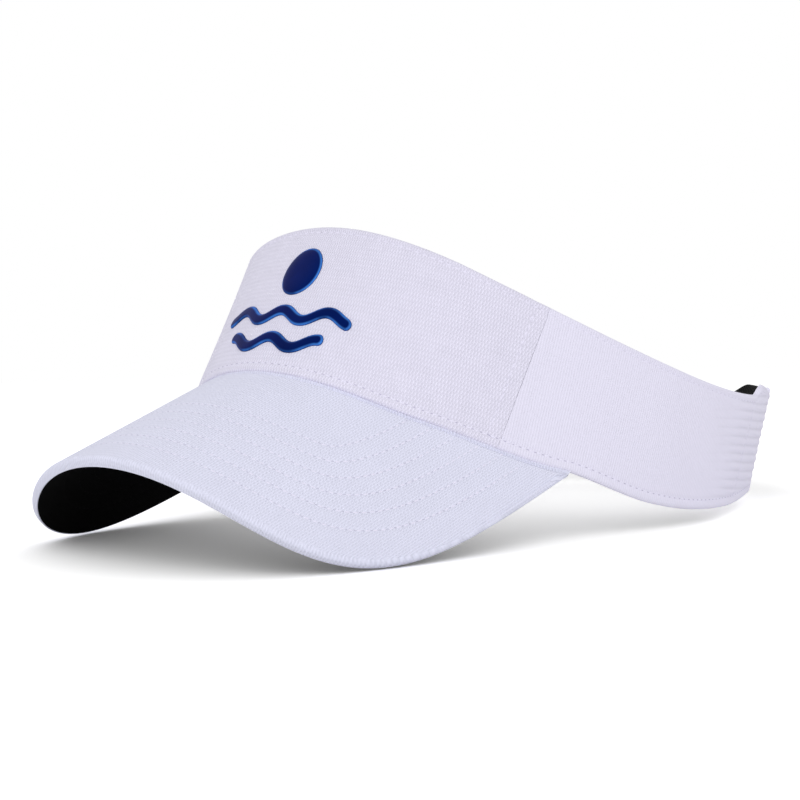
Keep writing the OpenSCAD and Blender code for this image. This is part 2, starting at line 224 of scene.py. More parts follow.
class Graph:
    """The nodes of a material or of the surroundings."""

    def __init__(self, owner: Material | bpy.types.World) -> None:
        """Starts with no nodes."""
        self.owner = owner
        owner.use_nodes = True
        self.tree = owner.node_tree
        self.tree.nodes.clear()

    def node(
        self, kind: str, settings: dict[str, Any] | None = None, inputs: dict[Any, Any] | None = None
    ) -> Node:
        """One node with its settings and inputs.

        Args:
            kind: The node's type.
            settings: Its properties, set first.
            inputs: Values or links for its sockets, by name or number.

        Returns:
            The node.
        """
        made = self.tree.nodes.new(kind)
        for key, value in (settings or {}).items():
            setattr(made, key, value)
        for key, value in (inputs or {}).items():
            if isinstance(value, Wire):
                self.tree.links.new(value.socket, made.inputs[key])
            elif isinstance(value, Socket):
                self.tree.links.new(value, made.inputs[key])
            else:
                made.inputs[key].default_value = value
        return made

    def wire(self, made: Node, output: Any = 0) -> Wire:
        """An output of a node as a value."""
        return Wire(self, made.outputs[output])

    def noise(self, vector: Any, scale: float, detail: float = 2.0) -> Wire:
        """Noise from 0 to 1, read at a vector, with its frequency and its octaves."""
        inputs = {"Vector": vector, "Scale": scale, "Detail": detail}
        return self.wire(self.node("ShaderNodeTexNoise", {"noise_dimensions": "3D"}, inputs))

    def mix(self, share: Any, low: Any, high: Any) -> Socket:
        """A colour between two colours."""
        made = self.node("ShaderNodeMix", {"data_type": "RGBA"}, {0: share, 6: low, 7: high})
        return made.outputs[2]

    def place(self) -> Socket:
        """Object coordinates, metres."""
        return self.node("ShaderNodeTexCoord").outputs["Object"]

    def blend(self, share: Any, first: Node, second: Node) -> Node:
        """A shader between two shaders."""
        return self.node("ShaderNodeMixShader", None, {0: share, 1: first.outputs[0], 2: second.outputs[0]})

    def output(self, shader: Node, kind: str = "Material") -> bpy.types.ID:
        """Connects the surface and returns what it belongs to."""
        self.node("ShaderNodeOutput" + kind, None, {"Surface": shader.outputs[0]})
        return self.owner

    def surface(
        self, colour: Any, rough: Any, height: Wire, strength: float, depth: float,
        extra: dict[str, Any] | None = None,
    ) -> Material:
        """A finished Principled surface with relief.

        Args:
            colour: Its base colour.
            rough: Its roughness.
            height: Its relief, from 0 to 1.
            strength: Strength of the relief.
            depth: Depth of the relief, mm.
            extra: Other inputs of the shader.

        Returns:
            The material.
        """
        inputs = {"Strength": strength, "Distance": depth * MM, "Height": height}
        bump = self.node("ShaderNodeBump", None, inputs)
        inputs = {"Base Color": colour, "Roughness": rough, "Normal": bump.outputs[0], **(extra or {})}
        return self.output(self.node("ShaderNodeBsdfPrincipled", None, inputs))


def linear(colour: Colour, gain: float = 1.0) -> tuple[float, float, float, float]:
    """A screen colour as a linear one.

    Args:
        colour: Red, green and blue from 0 to 255.
        gain: Factor on the linear value.

    Returns:
        Linear red, green, blue and alpha.
    """
    shares = [part / 255.0 for part in colour]
    values = [part / 12.92 if part <= 0.04045 else ((part + 0.055) / 1.055) ** 2.4 for part in shares]
    return (values[0] * gain, values[1] * gain, values[2] * gain, 1.0)


@dataclass(frozen=True)
class Finish:
    """A procedural surface."""

    name: str
    colour: Colour
    slot: str = field(default="", kw_only=True)

    def material(self) -> Material:
        """The finish's material, made once."""
        found = bpy.data.materials.get(self.name)
        if found is not None:
            return found
        return self.paint(Graph(bpy.data.materials.new(self.name)))

    def paint(self, graph: Graph) -> Material:
        """Builds the finish's nodes and returns its material."""
        raise NotImplementedError

    def tones(self, graph: Graph, share: Any, low: float, high: float) -> Socket:
        """The finish's colour between two gains."""
        return graph.mix(share, linear(self.colour, low), linear(self.colour, high))


@dataclass(frozen=True)
class ClothFinish(Finish):
    """A cloth: its colour, weave and relief, with painted shade that darkens the colour where the weave and
    its gathered creases lie low.
    """

    weave: Weave
    across: float = 1.2
    along: float = 1.6
    relief: float = 0.12
    # Colour gain where the weave lies low: painted shade.
    valley: float = 0.9
    mottle: float = 0.03
    roughness: float = 0.85
    sheen: float = 0.15
    gloss: float = 0.25
    # Depth of the gathered creases; they also darken the colour as painted shade.
    gather: float = 0.0
    gather_reach: float = 22.0

    def gathers(self, graph: Graph, s: Wire, uv: Any) -> Wire:
        """Level creases of a gathered panel end, from 0 to 1.

        Args:
            graph: The material's nodes.
            s: Distance along the cloth, mm.
            uv: The cloth's own coordinates.

        Returns:
            1 in the bottom of a crease.
        """
        level = graph.wire(graph.node("ShaderNodeSeparateXYZ", None, {0: graph.place()}), "Z") / MM
        away = s - UV_MIDDLE
        away = away.larger(away * -1.0)
        drift = graph.noise(uv, 30.0, 2.0) - 0.5
        away = away - PUCKER_START
        region = (away / self.gather_reach + drift * 2.0).held()
        foot = ((level - PUCKER_FOOT) / PUCKER_FOOT).held()
        crease = ((level + away * PUCKER_FALL) / PUCKER_PITCH + drift * 0.4).wave() * 0.5 + 0.5
        return crease**5.0 * region * foot

    def height(self, graph: Graph, s: Wire, z: Wire, uv: Any) -> Wire:
        """Relief of the weave from 0 to 1.

        Args:
            graph: The material's nodes.
            s: Distance along the cloth, mm.
            z: Distance across the cloth, mm.
            uv: The cloth's own coordinates.

        Returns:
            The height.
        """
        wobble = graph.noise(uv, 110.0, 2.0) - 0.5
        p = s / self.across
        q = z / self.along
        if self.weave is Weave.PEBBLE:
            brick = ((q * 0.5 + wobble * 0.2).wave() * 2.2).smaller(1.0).larger(-1.0)
            return (p - q * 0.3 + wobble * 0.5).wave() * brick * 0.34 + q.wave() * 0.1 + 0.5 + wobble * 0.4
        if self.weave is Weave.RIB:
            broken = graph.noise(uv, 420.0, 1.0)
            return (p + wobble * 0.6).wave() * (broken * 0.7 + 0.1) * 0.5 + 0.5
        if self.weave is Weave.CORD:
            broken = (q + wobble * 1.5 + p * 0.5).wave() * 0.3 + 0.7
            weft = (q + wobble * 0.3).wave() * 0.12
            return (p + wobble * 0.25).wave() * broken * 0.43 + weft + 0.5 + wobble * 0.3
        if self.weave is Weave.TWILL:
            return (p + q + wobble * 0.3).wave() * 0.5 + 0.5
        if self.weave is Weave.WEBBING:
            chevron = (p + (q * 0.5).wave() * 0.22).wave()
            return chevron * 0.3 + q.wave() * 0.2 + 0.5
        if self.weave is Weave.LOOP:
            return graph.noise(uv, 1500.0, 3.0)
        if self.weave is Weave.HOOK:
            return (p.wave().positive() * q.wave().positive()) ** 2.0
        return p.wave().larger(q.wave()) * 0.5 + 0.5

    def paint(self, graph: Graph) -> Material:
        """Builds the cloth's nodes and returns its material."""
        uv = graph.node("ShaderNodeUVMap", {"uv_map": UV_NAME}).outputs[0]
        parts = graph.node("ShaderNodeSeparateXYZ", None, {0: uv})
        s = graph.wire(parts, "X") * UV_SPAN
        z = graph.wire(parts, "Y") * UV_SPAN
        height = self.height(graph, s, z, uv)
        # The creases deepen the relief, and so also darken the colour below as painted shade.
        if self.gather > 0.0:
            height = height - self.gathers(graph, s, uv) * self.gather
        blotch = graph.noise(uv, 24.0, 3.0)
        dyed = self.tones(graph, blotch, 1.0 - self.mottle, 1.0 + self.mottle)
        # Painted shade: the colour falls to the valley gain where the relief is low, in the weave and in the
        # gathered creases.
        sunk = self.tones(graph, blotch, self.valley - self.mottle, self.valley)
        colour = graph.mix(height, sunk, dyed)
        rough = height * -0.06 + (self.roughness + 0.03)
        soft = {"Sheen Weight": self.sheen, "Sheen Roughness": 0.5, "Specular IOR Level": self.gloss}
        return graph.surface(colour, rough, height, 1.0, self.relief, soft)


@dataclass(frozen=True)
class ThreadFinish(Finish):
    """Sewing thread, or the painted shade of the needle holes in the cloth."""

    roughness: float = 0.7
    gloss: float = 0.3

    def paint(self, graph: Graph) -> Material:
        """Builds the thread's nodes and returns its material."""
        fibre = graph.noise(graph.place(), 3200.0)
        colour = self.tones(graph, fibre, 0.88, 1.04)
        rough = fibre * 0.1 + self.roughness
        return graph.surface(colour, rough, fibre, 0.6, 0.08, {"Specular IOR Level": self.gloss})


@dataclass(frozen=True)
class BadgeFinish(Finish):
    """Glossy raised transfer of the badge, with a painted highlight: a bright band of colour inside its
    edges stands in for the glints on its bevels.
    """

    deep: Colour
    # Colour of the painted highlight inside the edges.
    painted_glint: Colour
    metal: float = 0.3
    gloss: float = 0.08
    tint: tuple[float, float, float, float] = (0.1, 0.25, 0.7, 1.0)
    # Width of the painted highlight band, then of the face colour kept at the very edge, mm.
    painted_glint_width: float = 0.6
    painted_glint_inset: float = 0.2

    def paint(self, graph: Graph) -> Material:
        """Builds the badge's nodes and returns its material."""
        place = graph.place()
        flake = graph.noise(place, 900.0)
        cloud = graph.noise(place, 120.0)
        face = graph.mix(cloud, linear(self.deep), linear(self.colour))
        uv = graph.node("ShaderNodeUVMap", {"uv_map": UV_NAME})
        parts = graph.node("ShaderNodeSeparateXYZ", None, {0: uv.outputs[0]})
        # Painted highlight: near the edge the colour turns to the bright glint colour, broken up by noise.
        edge = graph.wire(parts, "X") * UV_SPAN
        rise = ((1.0 - edge) / self.painted_glint_width).held()
        fall = (edge / self.painted_glint_inset).held()
        patch = ((cloud - 0.38) / 0.2).held()
        colour = graph.mix(rise * fall * (patch * 0.75 + 0.25), face, linear(self.painted_glint))
        shine = {"Metallic": self.metal, "Specular IOR Level": self.gloss, "Specular Tint": self.tint}
        return graph.surface(colour, flake * 0.06 + 0.2, flake, 0.25, 0.05, shine)


@dataclass(frozen=True)
class BoardFinish(Finish):
    """Milky plastic sheet inside the bill."""

    def paint(self, graph: Graph) -> Material:
        """Builds the sheet's nodes and returns its material."""
        place = graph.place()
        cloud = graph.noise(place, 60.0, 3.0)
        grain = graph.noise(place, 1400.0)
        return graph.surface(self.tones(graph, cloud, 0.92, 1.04), grain * 0.15 + 0.4, grain, 0.4, 0.05)


# The valley gain of each cloth darkens its weave's low points as painted shade.
FRONT_CLOTH = ClothFinish(
    "front_cloth", (231, 228, 246), Weave.PEBBLE, 1.08, 1.7, relief=0.28, valley=0.80, slot="outer_cloth"
)
SIDE_CLOTH = ClothFinish(
    "side_cloth", (230, 227, 245), Weave.RIB, 0.95, 2.4, relief=0.22, valley=0.87, gather=0.55,
    slot="outer_cloth",
)
BILL_CLOTH = ClothFinish(
    "bill_cord", (226, 227, 246), Weave.CORD, 1.0, 1.5, relief=0.21, valley=0.85, slot="bill_cloth"
)
HEM_CLOTH = ClothFinish(
    "hem_cloth", (230, 227, 245), Weave.RIB, 0.95, 2.4, relief=0.08, valley=0.9, slot="outer_cloth"
)
UNDER_CLOTH = ClothFinish(
    "under_cord", (7, 7, 8), Weave.CORD, 1.05, 1.5, relief=0.10, valley=0.5, mottle=0.2, sheen=0.0,
    roughness=0.95, gloss=0.03, slot="under_cloth",
)
BAND_CLOTH = ClothFinish(
    "band_twill", (20, 20, 22), Weave.TWILL, 1.3, 1.3, relief=0.14, valley=0.6, mottle=0.1, sheen=0.1,
    slot="sweatband_cloth",
)
STIFF_CLOTH = ClothFinish(
    "stiffener_mesh", (226, 225, 228), Weave.MESH, 1.1, 1.1, relief=0.2, valley=0.72, slot="stiffener_cloth"
)
FOAM = ClothFinish("foam_cells", (70, 70, 74), Weave.LOOP, relief=0.2, valley=0.6, slot="foam")
STRAP_WEBBING = ClothFinish(
    "strap_webbing", (10, 10, 12), Weave.WEBBING, 1.7, 1.3, relief=0.2, valley=0.5, mottle=0.1, sheen=0.02,
    gloss=0.08, slot="strap_cloth",
)
LOOP_PILE = ClothFinish(
    "loop_pile", (24, 24, 26), Weave.LOOP, relief=0.5, valley=0.35, mottle=0.15, sheen=0.3,
    roughness=0.95, slot="hook_and_loop",
)
HOOK_PILE = ClothFinish(
    "hook_pile", (20, 20, 22), Weave.HOOK, 1.3, 1.1, relief=0.4, valley=0.4, roughness=0.6,
    slot="hook_and_loop",
)
FOLD_CLOTH = ThreadFinish("fold_cloth", (231, 228, 247), roughness=0.85, slot="outer_cloth")
WHITE_THREAD = ThreadFinish("white_thread", (229, 226, 244), slot="outer_cloth")
BLACK_THREAD = ThreadFinish("black_thread", (26, 26, 28), slot="sweatband_cloth")
UNDER_THREAD = ThreadFinish("under_thread", (8, 8, 9), gloss=0.04, slot="under_cloth")
# Dark dimples that paint the shade in the needle holes between stitches.
NEEDLE_SHADE = ThreadFinish("needle_hole_shade", (188, 184, 206), roughness=0.95)
BILL_SHADE = ThreadFinish("bill_needle_hole_shade", (192, 190, 210), roughness=0.95)
FAINT_SHADE = ThreadFinish("faint_needle_hole_shade", (213, 210, 228), roughness=0.95)
# Face colour, its darker random tone, then the colour of the painted highlight inside the edges.
BADGE_GLOSS = BadgeFinish("badge_gloss", (2, 27, 96), (1, 15, 66), (58, 116, 198), slot="badge")
BOARD_PLASTIC = BoardFinish("bill_board_plastic", (206, 206, 200))


@dataclass(frozen=True)
class CrownForm:
    """The crown's wall: a plan of four arcs, leaning in, between a lower and an upper edge (mm, degrees)."""

    half_width: float = 84.0
    front_length: float = 122.0
    back_length: float = 103.0
    front_radius: float = 65.0
    back_radius: float = 76.5
    front_lean: float = 12.4
    side_lean: float = 0.2
    front_top: float = 55.8
    side_top: float = 43.9
    back_top: float = 72.6
    seam_low_angle: float = 62.5
    seam_top_angle: float = 65.0
    gap_half_angle: float = 48.0
    end_height: float = 40.7
    behind_bill_rise: float = 2.7
    corner_height: float = 14.0
    corner_angle: float = 25.0
    end_lift: float = 6.4
    lift_angle: float = 45.0
    bill_length: float = 69.0
    bill_slope: float = 41.7
    root_angle: float = 72.5
    hem_sag: float = 1.95
    hem_sag_angle: float = 13.0
    hem_draw: float = 8.0
    hem_draw_start: float = 84.0
    hem_ease: float = 4.0
    hem_ease_start: float = 112.0
    arch_half_drop: float = 14.7
    arch_end_drop: float = 71.4
    outline_power: float = 3.5
    edge_crowding: float = 1.4
    bill_thick: float = 3.5
    seat_gap: float = 0.3

    def side_arc(self, centre: float, radius: float) -> float:
        """Radius of the side arc that joins the widest point to a round end."""
        return (self.half_width**2 + centre**2 - radius**2) / (2.0 * (self.half_width - radius))

    @property
    def end_angle(self) -> float:
        """Angle of the panel ends from the front."""
        return 180.0 - self.gap_half_angle

    @property
    def corner_start(self) -> float:
        """Angle at which a panel's rounded rear corner starts."""
        return self.end_angle - self.corner_angle

    @property
    def front_centre(self) -> float:
        """Distance from the widest point to the front arc's centre."""
        return self.front_length - self.front_radius

    @property
    def back_centre(self) -> float:
        """Distance from the widest point to the back arc's centre."""
        return self.back_length - self.back_radius

    @property
    def front_side(self) -> float:
        """Radius of the side arc in front of the widest point."""
        return self.side_arc(self.front_centre, self.front_radius)

    @property
    def back_side(self) -> float:
        """Radius of the side arc behind the widest point."""
        return self.side_arc(self.back_centre, self.back_radius)

    @property
    def front_join(self) -> float:
        """Angle at which the front arc ends."""
        return math.degrees(math.atan2(self.front_side - self.half_width, self.front_centre))

    @property
    def back_join(self) -> float:
        """Angle at which the back arc starts."""
        return 180.0 - math.degrees(math.atan2(self.back_side - self.half_width, self.back_centre))

    def outline(self, t: Array) -> Array:
        """Plan of the crown.

        Args:
            t: Angle of the outward normal from the front, wearer's left positive, degrees.

        Returns:
            x and y, mm.
        """
        a = np.abs(t)
        side = np.where(np.asarray(t) < 0, -1.0, 1.0)
        turn = np.radians(a)
        zones = [a <= self.front_join, a <= 90.0, a <= self.back_join]
        x = np.select(zones, [0.0, self.half_width - self.front_side, self.half_width - self.back_side], 0.0)
        y = np.select(zones, [-self.front_centre, 0.0, 0.0], self.back_centre)
        radius = np.select(zones, [self.front_radius, self.front_side, self.back_side], self.back_radius)
        return np.stack([side * (x + radius * np.sin(turn)), y - radius * np.cos(turn)], -1)

    def run(self, t: Array) -> Array:
        """Length along the plan from the front, mm, negative on the wearer's right."""
        a = np.abs(t)
        length = self.front_radius * np.radians(np.minimum(a, self.front_join))
        length = length + self.front_side * np.radians(np.clip(a, self.front_join, 90.0) - self.front_join)
        length = length + self.back_side * np.radians(np.clip(a, 90.0, self.back_join) - 90.0)
        length = length + self.back_radius * np.radians(np.maximum(a - self.back_join, 0.0))
        return np.where(np.asarray(t) < 0, -length, length)

    def point(self, t: Array, z: Array, depth: Array | float = 0.0) -> Array:
        """Point of the wall.

        Args:
            t: Angle from the front, degrees.
            z: Height, mm.
            depth: Depth inside the outer face, mm.

        Returns:
            x, y and z in the crown's own frame, mm.
        """
        plan = self.outline(t)
        turn = np.radians(t)
        lean = self.side_lean + (self.front_lean - self.side_lean) * np.maximum(np.cos(turn), 0.0) ** 2
        inward = np.tan(np.radians(lean)) * z + depth
        x = plan[..., 0] - np.sin(turn) * inward
        y = plan[..., 1] + np.cos(turn) * inward
        return np.stack([x, y, z + 0.0 * x], -1)

    def edge_parabola(self, t: Array) -> Array:
        """Height of the top edge without its lift at the ends."""
        y = self.outline(t)[..., 1]
        rise = (self.back_top - self.side_top) / self.back_length
        curve = ((self.front_top - self.side_top) / self.front_length + rise) / (
            self.front_length + self.back_length
        )
        return self.side_top + (rise - curve * self.back_length) * y + curve * y * y

    def upper(self, t: Array) -> Array:
        """Height of the top edge."""
        near = np.maximum(0.0, 1.0 - (self.end_angle - np.abs(t)) / self.lift_angle)
        return self.edge_parabola(t) + self.end_lift * near * near

    def hem(self, t: Array) -> Array:
        """Height of the sewn lower edge, which sags behind the bill and is drawn up at its end."""
        a = np.abs(t)
        sag = self.hem_sag * smooth((a - self.root_angle) / self.hem_sag_angle)
        draw = self.hem_draw * smooth((a - self.hem_draw_start) / (self.end_angle - self.hem_draw_start))
        ease = self.hem_ease * smooth((a - self.hem_ease_start) / (self.end_angle - self.hem_ease_start))
        return self.lower(t) - sag + draw - ease

    @property
    def root_end(self) -> Array:
        """Plan point at which the bill's edge meets the crown."""
        return self.outline(np.array(self.root_angle))

    @property
    def bill_reach(self) -> float:
        """Length of the bill's outline in plan."""
        ahead = self.bill_length * math.cos(math.radians(self.bill_slope))
        return self.front_length + ahead + float(self.root_end[1])

    @property
    def arch(self) -> tuple[float, float]:
        """Factors of the arch's square and fourth power."""
        half = float(self.root_end[0]) / 2.0
        quartic = (self.arch_end_drop - 4.0 * self.arch_half_drop) / 12.0 / half**4
        return (self.arch_half_drop - quartic * half**4) / half**2, quartic

    def bill_height(self, x: Array, y: Array) -> Array:
        """Height of the bill's upper surface."""
        square, quartic = self.arch
        slope = math.tan(math.radians(self.bill_slope))
        return (y + self.front_length) * slope - square * x**2 - quartic * x**4

    def lower(self, t: Array) -> Array:
        """Height of the crown's lower edge."""
        a = np.abs(t)
        plan = self.outline(t)
        root = self.root_end
        root_z = float(self.bill_height(root[0], root[1]))
        end = np.array(self.end_angle)
        end_run = float(self.outline(end)[1] - root[1])
        rise = math.tan(math.radians(self.behind_bill_rise))
        end_low = float(self.edge_parabola(end)) - self.end_height
        curve = (end_low - root_z - rise * end_run) / end_run**2
        run = plan[..., 1] - root[1]
        turn = np.clip(1.0 - (self.end_angle - a) / self.corner_angle, 0.0, 1.0)
        corner = self.corner_height * (1.0 - np.sqrt(1.0 - turn * turn))
        seated = self.bill_height(plan[..., 0], plan[..., 1]) + self.seat_gap
        behind = root_z + self.seat_gap + rise * run + curve * run * run + corner
        return np.where(a <= self.root_angle, seated, behind)

    def bill_normal(self, x: Array) -> Array:
        """Upward normal of the bill at a distance across it."""
        square, quartic = self.arch
        across = 2.0 * square * x + 4.0 * quartic * x**3
        slope = np.full_like(across, -math.tan(math.radians(self.bill_slope)))
        return unit(np.stack([across, slope, np.ones_like(across)], -1))

    def bill(self, v: Array, u: Array, depth: Array | float = 0.0) -> Array:
        """Point of the bill.

        Args:
            v: Place across the bill, from -1 to 1.
            u: Place from the edge, 0, to the root, 1.
            depth: Depth under the upper surface, mm.

        Returns:
            x, y and z in the crown's own frame, mm.
        """
        bend = np.radians(90.0 * (1.0 - (1.0 - np.abs(v)) ** self.edge_crowding))
        root = self.root_end
        edge_x = np.where(np.asarray(v) < 0, -1.0, 1.0) * root[0] * np.sin(bend)
        edge_y = root[1] - self.bill_reach * np.maximum(np.cos(bend), 0.0) ** (2.0 / self.outline_power)
        seat = self.outline(v * self.root_angle)
        x = edge_x + (seat[..., 0] - edge_x) * u
        y = edge_y + (seat[..., 1] - edge_y) * u
        surface = np.stack([x, y, self.bill_height(x, y)], -1)
        return surface - self.bill_normal(x) * np.asarray(depth)[..., None]


@dataclass
class Stance:
    """The standing pose: the crown's frame tilted until the bill and the rear edges touch the ground."""

    form: CrownForm
    strap_room: float = 1.3
    panel_thick: float = 1.2
    strap_drop: float = 2.2
    strap_width: float = 25.0
    cover_reach: float = 0.994
    tilt: float = field(init=False, default=20.0)
    shift: Array = field(init=False)
    axis: float = field(init=False)
    radius: float = field(init=False)
    flare: float = field(init=False)
    seat_z: float = field(init=False)
    end_turn: float = field(init=False)
    strap_top: float = field(init=False)

    def __post_init__(self) -> None:
        """Works out the tilt, the strap's cone and the shift to the origin."""
        form = self.form
        shares = np.linspace(-self.cover_reach, self.cover_reach, 45)
        edge_line = np.zeros_like(shares)
        rim = form.bill(shares, edge_line, edge_line + form.bill_thick)
        angles = np.linspace(form.root_angle, form.end_angle, 120)
        edge = form.point(angles, form.lower(angles))
        for _ in range(8):
            low_rim = rim[np.argmin(self.turned(rim)[:, 2])]
            low_edge = edge[np.argmin(self.turned(edge)[:, 2])]
            self.tilt = math.degrees(math.atan2(low_edge[2] - low_rim[2], low_edge[1] - low_rim[1]))
        end = np.array(form.end_angle)
        seat = self.turned(form.point(end, (form.upper(end) + form.lower(end)) / 2.0, self.panel_thick))
        out = self.turned(np.array([math.sin(math.radians(end)), -math.cos(math.radians(end)), 0.0]))
        flat = math.hypot(out[0], out[1])
        self.flare = -out[2] / flat
        self.radius = seat[0] * flat / out[0] - self.strap_room
        self.axis = seat[1] - (self.radius + self.strap_room) * out[1] / flat
        self.seat_z = float(seat[2])
        self.end_turn = math.degrees(math.atan2(out[0], out[1]))
        self.strap_top = float(self.turned(form.point(end, form.upper(end)))[2]) - self.strap_drop
        low = min(self.turned(rim)[:, 2].min(), self.turned(edge)[:, 2].min())
        front = self.turned(form.bill(shares, edge_line))[:, 1].min()
        back = self.axis + self.cone_radius(self.strap_top)
        self.shift = np.array([0.0, -(front + back) / 2.0, -low])

    @property
    def strap_low(self) -> float:
        """Height of the strap's lower edge."""
        return self.strap_top - self.strap_width

    def turned(self, points: Array) -> Array:
        """Points of the crown's frame, tilted."""
        c = math.cos(math.radians(self.tilt))
        s = math.sin(math.radians(self.tilt))
        y = points[..., 1] * c + points[..., 2] * s
        z = points[..., 2] * c - points[..., 1] * s
        return np.stack([points[..., 0], y, z], -1)

    def place(self, points: Array) -> Array:
        """Points of the crown's frame, mm, in the row frame, metres."""
        return self.settle(self.turned(points))

    def wall(self, t: Array, z: Array, depth: Array | float = 0.0) -> Array:
        """Point of the crown's wall in the row frame, metres."""
        return self.place(self.form.point(t, z, depth))

    def settle(self, points: Array) -> Array:
        """Tilted points, mm, in the row frame, metres."""
        return (points + self.shift) * MM

    def cone_radius(self, z: Array | float) -> Array | float:
        """Outer radius of the strap's cone at a height."""
        return self.radius + self.flare * (z - self.seat_z)

    def cone(self, a: Array, z: Array, depth: Array | float) -> Array:
        """Point of the strap's cone.

        Args:
            a: Angle from the back, wearer's left positive, degrees.
            z: Height, mm.
            depth: Depth inside the strap's outer face, mm.

        Returns:
            x, y and z, tilted, mm.
        """
        r = self.cone_radius(z) - depth
        turn = np.radians(a)
        return np.stack([r * np.sin(turn), self.axis + r * np.cos(turn), z + 0.0 * r], -1)


def clear() -> None:
    """Deselects everything."""
    if bpy.context.object is not None and bpy.context.object.mode != "OBJECT":
        bpy.ops.object.mode_set(mode="OBJECT")
    bpy.ops.object.select_all(action="DESELECT")


def take(piece: Piece) -> None:
    """Selects one piece alone and makes it active."""
    clear()
    piece.select_set(True)
    bpy.context.view_layer.objects.active = piece


def vertex_places(mesh: bpy.types.Mesh) -> Array:
    """Places of a mesh's vertices, (n, 3)."""
    flat = np.empty(len(mesh.vertices) * 3, np.float32)
    mesh.vertices.foreach_get("co", flat)
    return flat.reshape(-1, 3)


def cloth(name: str, points: Array, lengths: Array, widths: Array) -> Piece:
    """A sheet: a grid primitive laid on a surface.

    Args:
        name: The piece's name.
        points: Places of its columns and rows, (columns, rows, 3), metres.
        lengths: Distance along the cloth of each, mm.
        widths: Distance across the cloth of each, mm.

    Returns:
        The sheet, facing to the right of its columns and up its rows.
    """
    clear()
    columns = points.shape[0] - 1
    rows = points.shape[1] - 1
    bpy.ops.mesh.primitive_grid_add(x_subdivisions=columns, y_subdivisions=rows, size=1.0)
    piece = bpy.context.object
    piece.name = name
    mesh = piece.data
    mesh.name = name
    flat = vertex_places(mesh)
    i = np.rint((flat[:, 0] + 0.5) * columns).astype(int)
    j = np.rint((flat[:, 1] + 0.5) * rows).astype(int)
    mesh.vertices.foreach_set("co", points[i, j].astype(np.float32).ravel())
    corners = np.empty(len(mesh.loops), np.int32)
    mesh.loops.foreach_get("vertex_index", corners)
    layer = mesh.uv_layers[0] if mesh.uv_layers else mesh.uv_layers.new()
    layer.name = UV_NAME
    uv = np.stack([lengths[i, j], widths[i, j]], -1)[corners] / UV_SPAN
    layer.data.foreach_set("uv", uv.astype(np.float32).ravel())
    mesh.update()
    return piece


def thicken(piece: Piece, thick: float, soften: float = 0.0) -> None:
    """Gives a sheet its thickness, behind its face, and softens its edges.

    Args:
        piece: The sheet.
        thick: Its thickness, mm.
        soften: Width of the softened edges, mm.
    """
    wall = piece.modifiers.new("wall", "SOLIDIFY")
    wall.thickness = thick * MM
    wall.offset = -1.0
    apply(piece, wall)
    if soften > 0.0:
        edge = piece.modifiers.new("edge", "BEVEL")
        edge.width = soften * MM
        edge.segments = 2
        edge.limit_method = "ANGLE"
        edge.angle_limit = math.radians(BEVEL_ANGLE)
        apply(piece, edge)


def apply(piece: Piece, modifier: bpy.types.Modifier) -> None:
    """Applies one modifier."""
    take(piece)
    bpy.ops.object.modifier_apply(modifier=modifier.name)


def close(piece: Piece) -> Piece:
    """Merges a wrapped sheet, whose last row lies on its first, into a closed body."""
    take(piece)
    bpy.ops.object.mode_set(mode="EDIT")
    bpy.ops.mesh.select_all(action="SELECT")
    bpy.ops.mesh.remove_doubles(threshold=MERGE_REACH)
    bpy.ops.mesh.select_all(action="DESELECT")
    bpy.ops.mesh.select_non_manifold()
    bpy.ops.mesh.fill_holes(sides=0)
    bpy.ops.mesh.select_all(action="SELECT")
    bpy.ops.mesh.normals_make_consistent(inside=False)
    bpy.ops.object.mode_set(mode="OBJECT")
    return piece


def dress(piece: Piece, finish: Finish, body: Body | None, replaced: Sequence[str] = ()) -> Piece:
    """Gives a piece its material, its body and the nodes that it stands for.

    Args:
        piece: The piece.
        finish: Its finish.
        body: The body that it rides on, or None, which attaches it to no body.
        replaced: CAD nodes that it replaces.

    Returns:
        The piece.
    """
    take(piece)
    bpy.ops.object.shade_smooth_by_angle(angle=math.radians(SMOOTH_ANGLE))
    piece.data.materials.clear()
    piece.data.materials.append(finish.material())
    if body is not None:
        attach(piece, body.value)
    if replaced:
        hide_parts(*replaced)
    LOG.info("%s: %d faces", piece.name, len(piece.data.polygons))
    return piece


def copies(name: str, template: Piece, centres: Array, axes: Array) -> Piece:
    """One piece made of copies of a template, which is removed.

    Args:
        name: The piece's name.
        template: The mesh to copy, about the origin, metres.
        centres: Places of the copies, (n, 3), metres.
        axes: Their x, y and z directions, (n, 3, 3).

    Returns:
        The piece.
    """
    shape = vertex_places(template.data)
    faces = [tuple(polygon.vertices) for polygon in template.data.polygons]
    spots = centres[:, None, :] + np.einsum("vk,nkc->nvc", shape, axes)
    size = len(shape)
    every = [tuple(k * size + c for c in face) for k in range(len(centres)) for face in faces]
    made = bpy.data.meshes.new(name)
    made.from_pydata(spots.reshape(-1, 3).tolist(), [], every)
    piece = bpy.data.objects.new(name, made)
    bpy.context.scene.collection.objects.link(piece)
    bpy.data.objects.remove(template)
    return piece


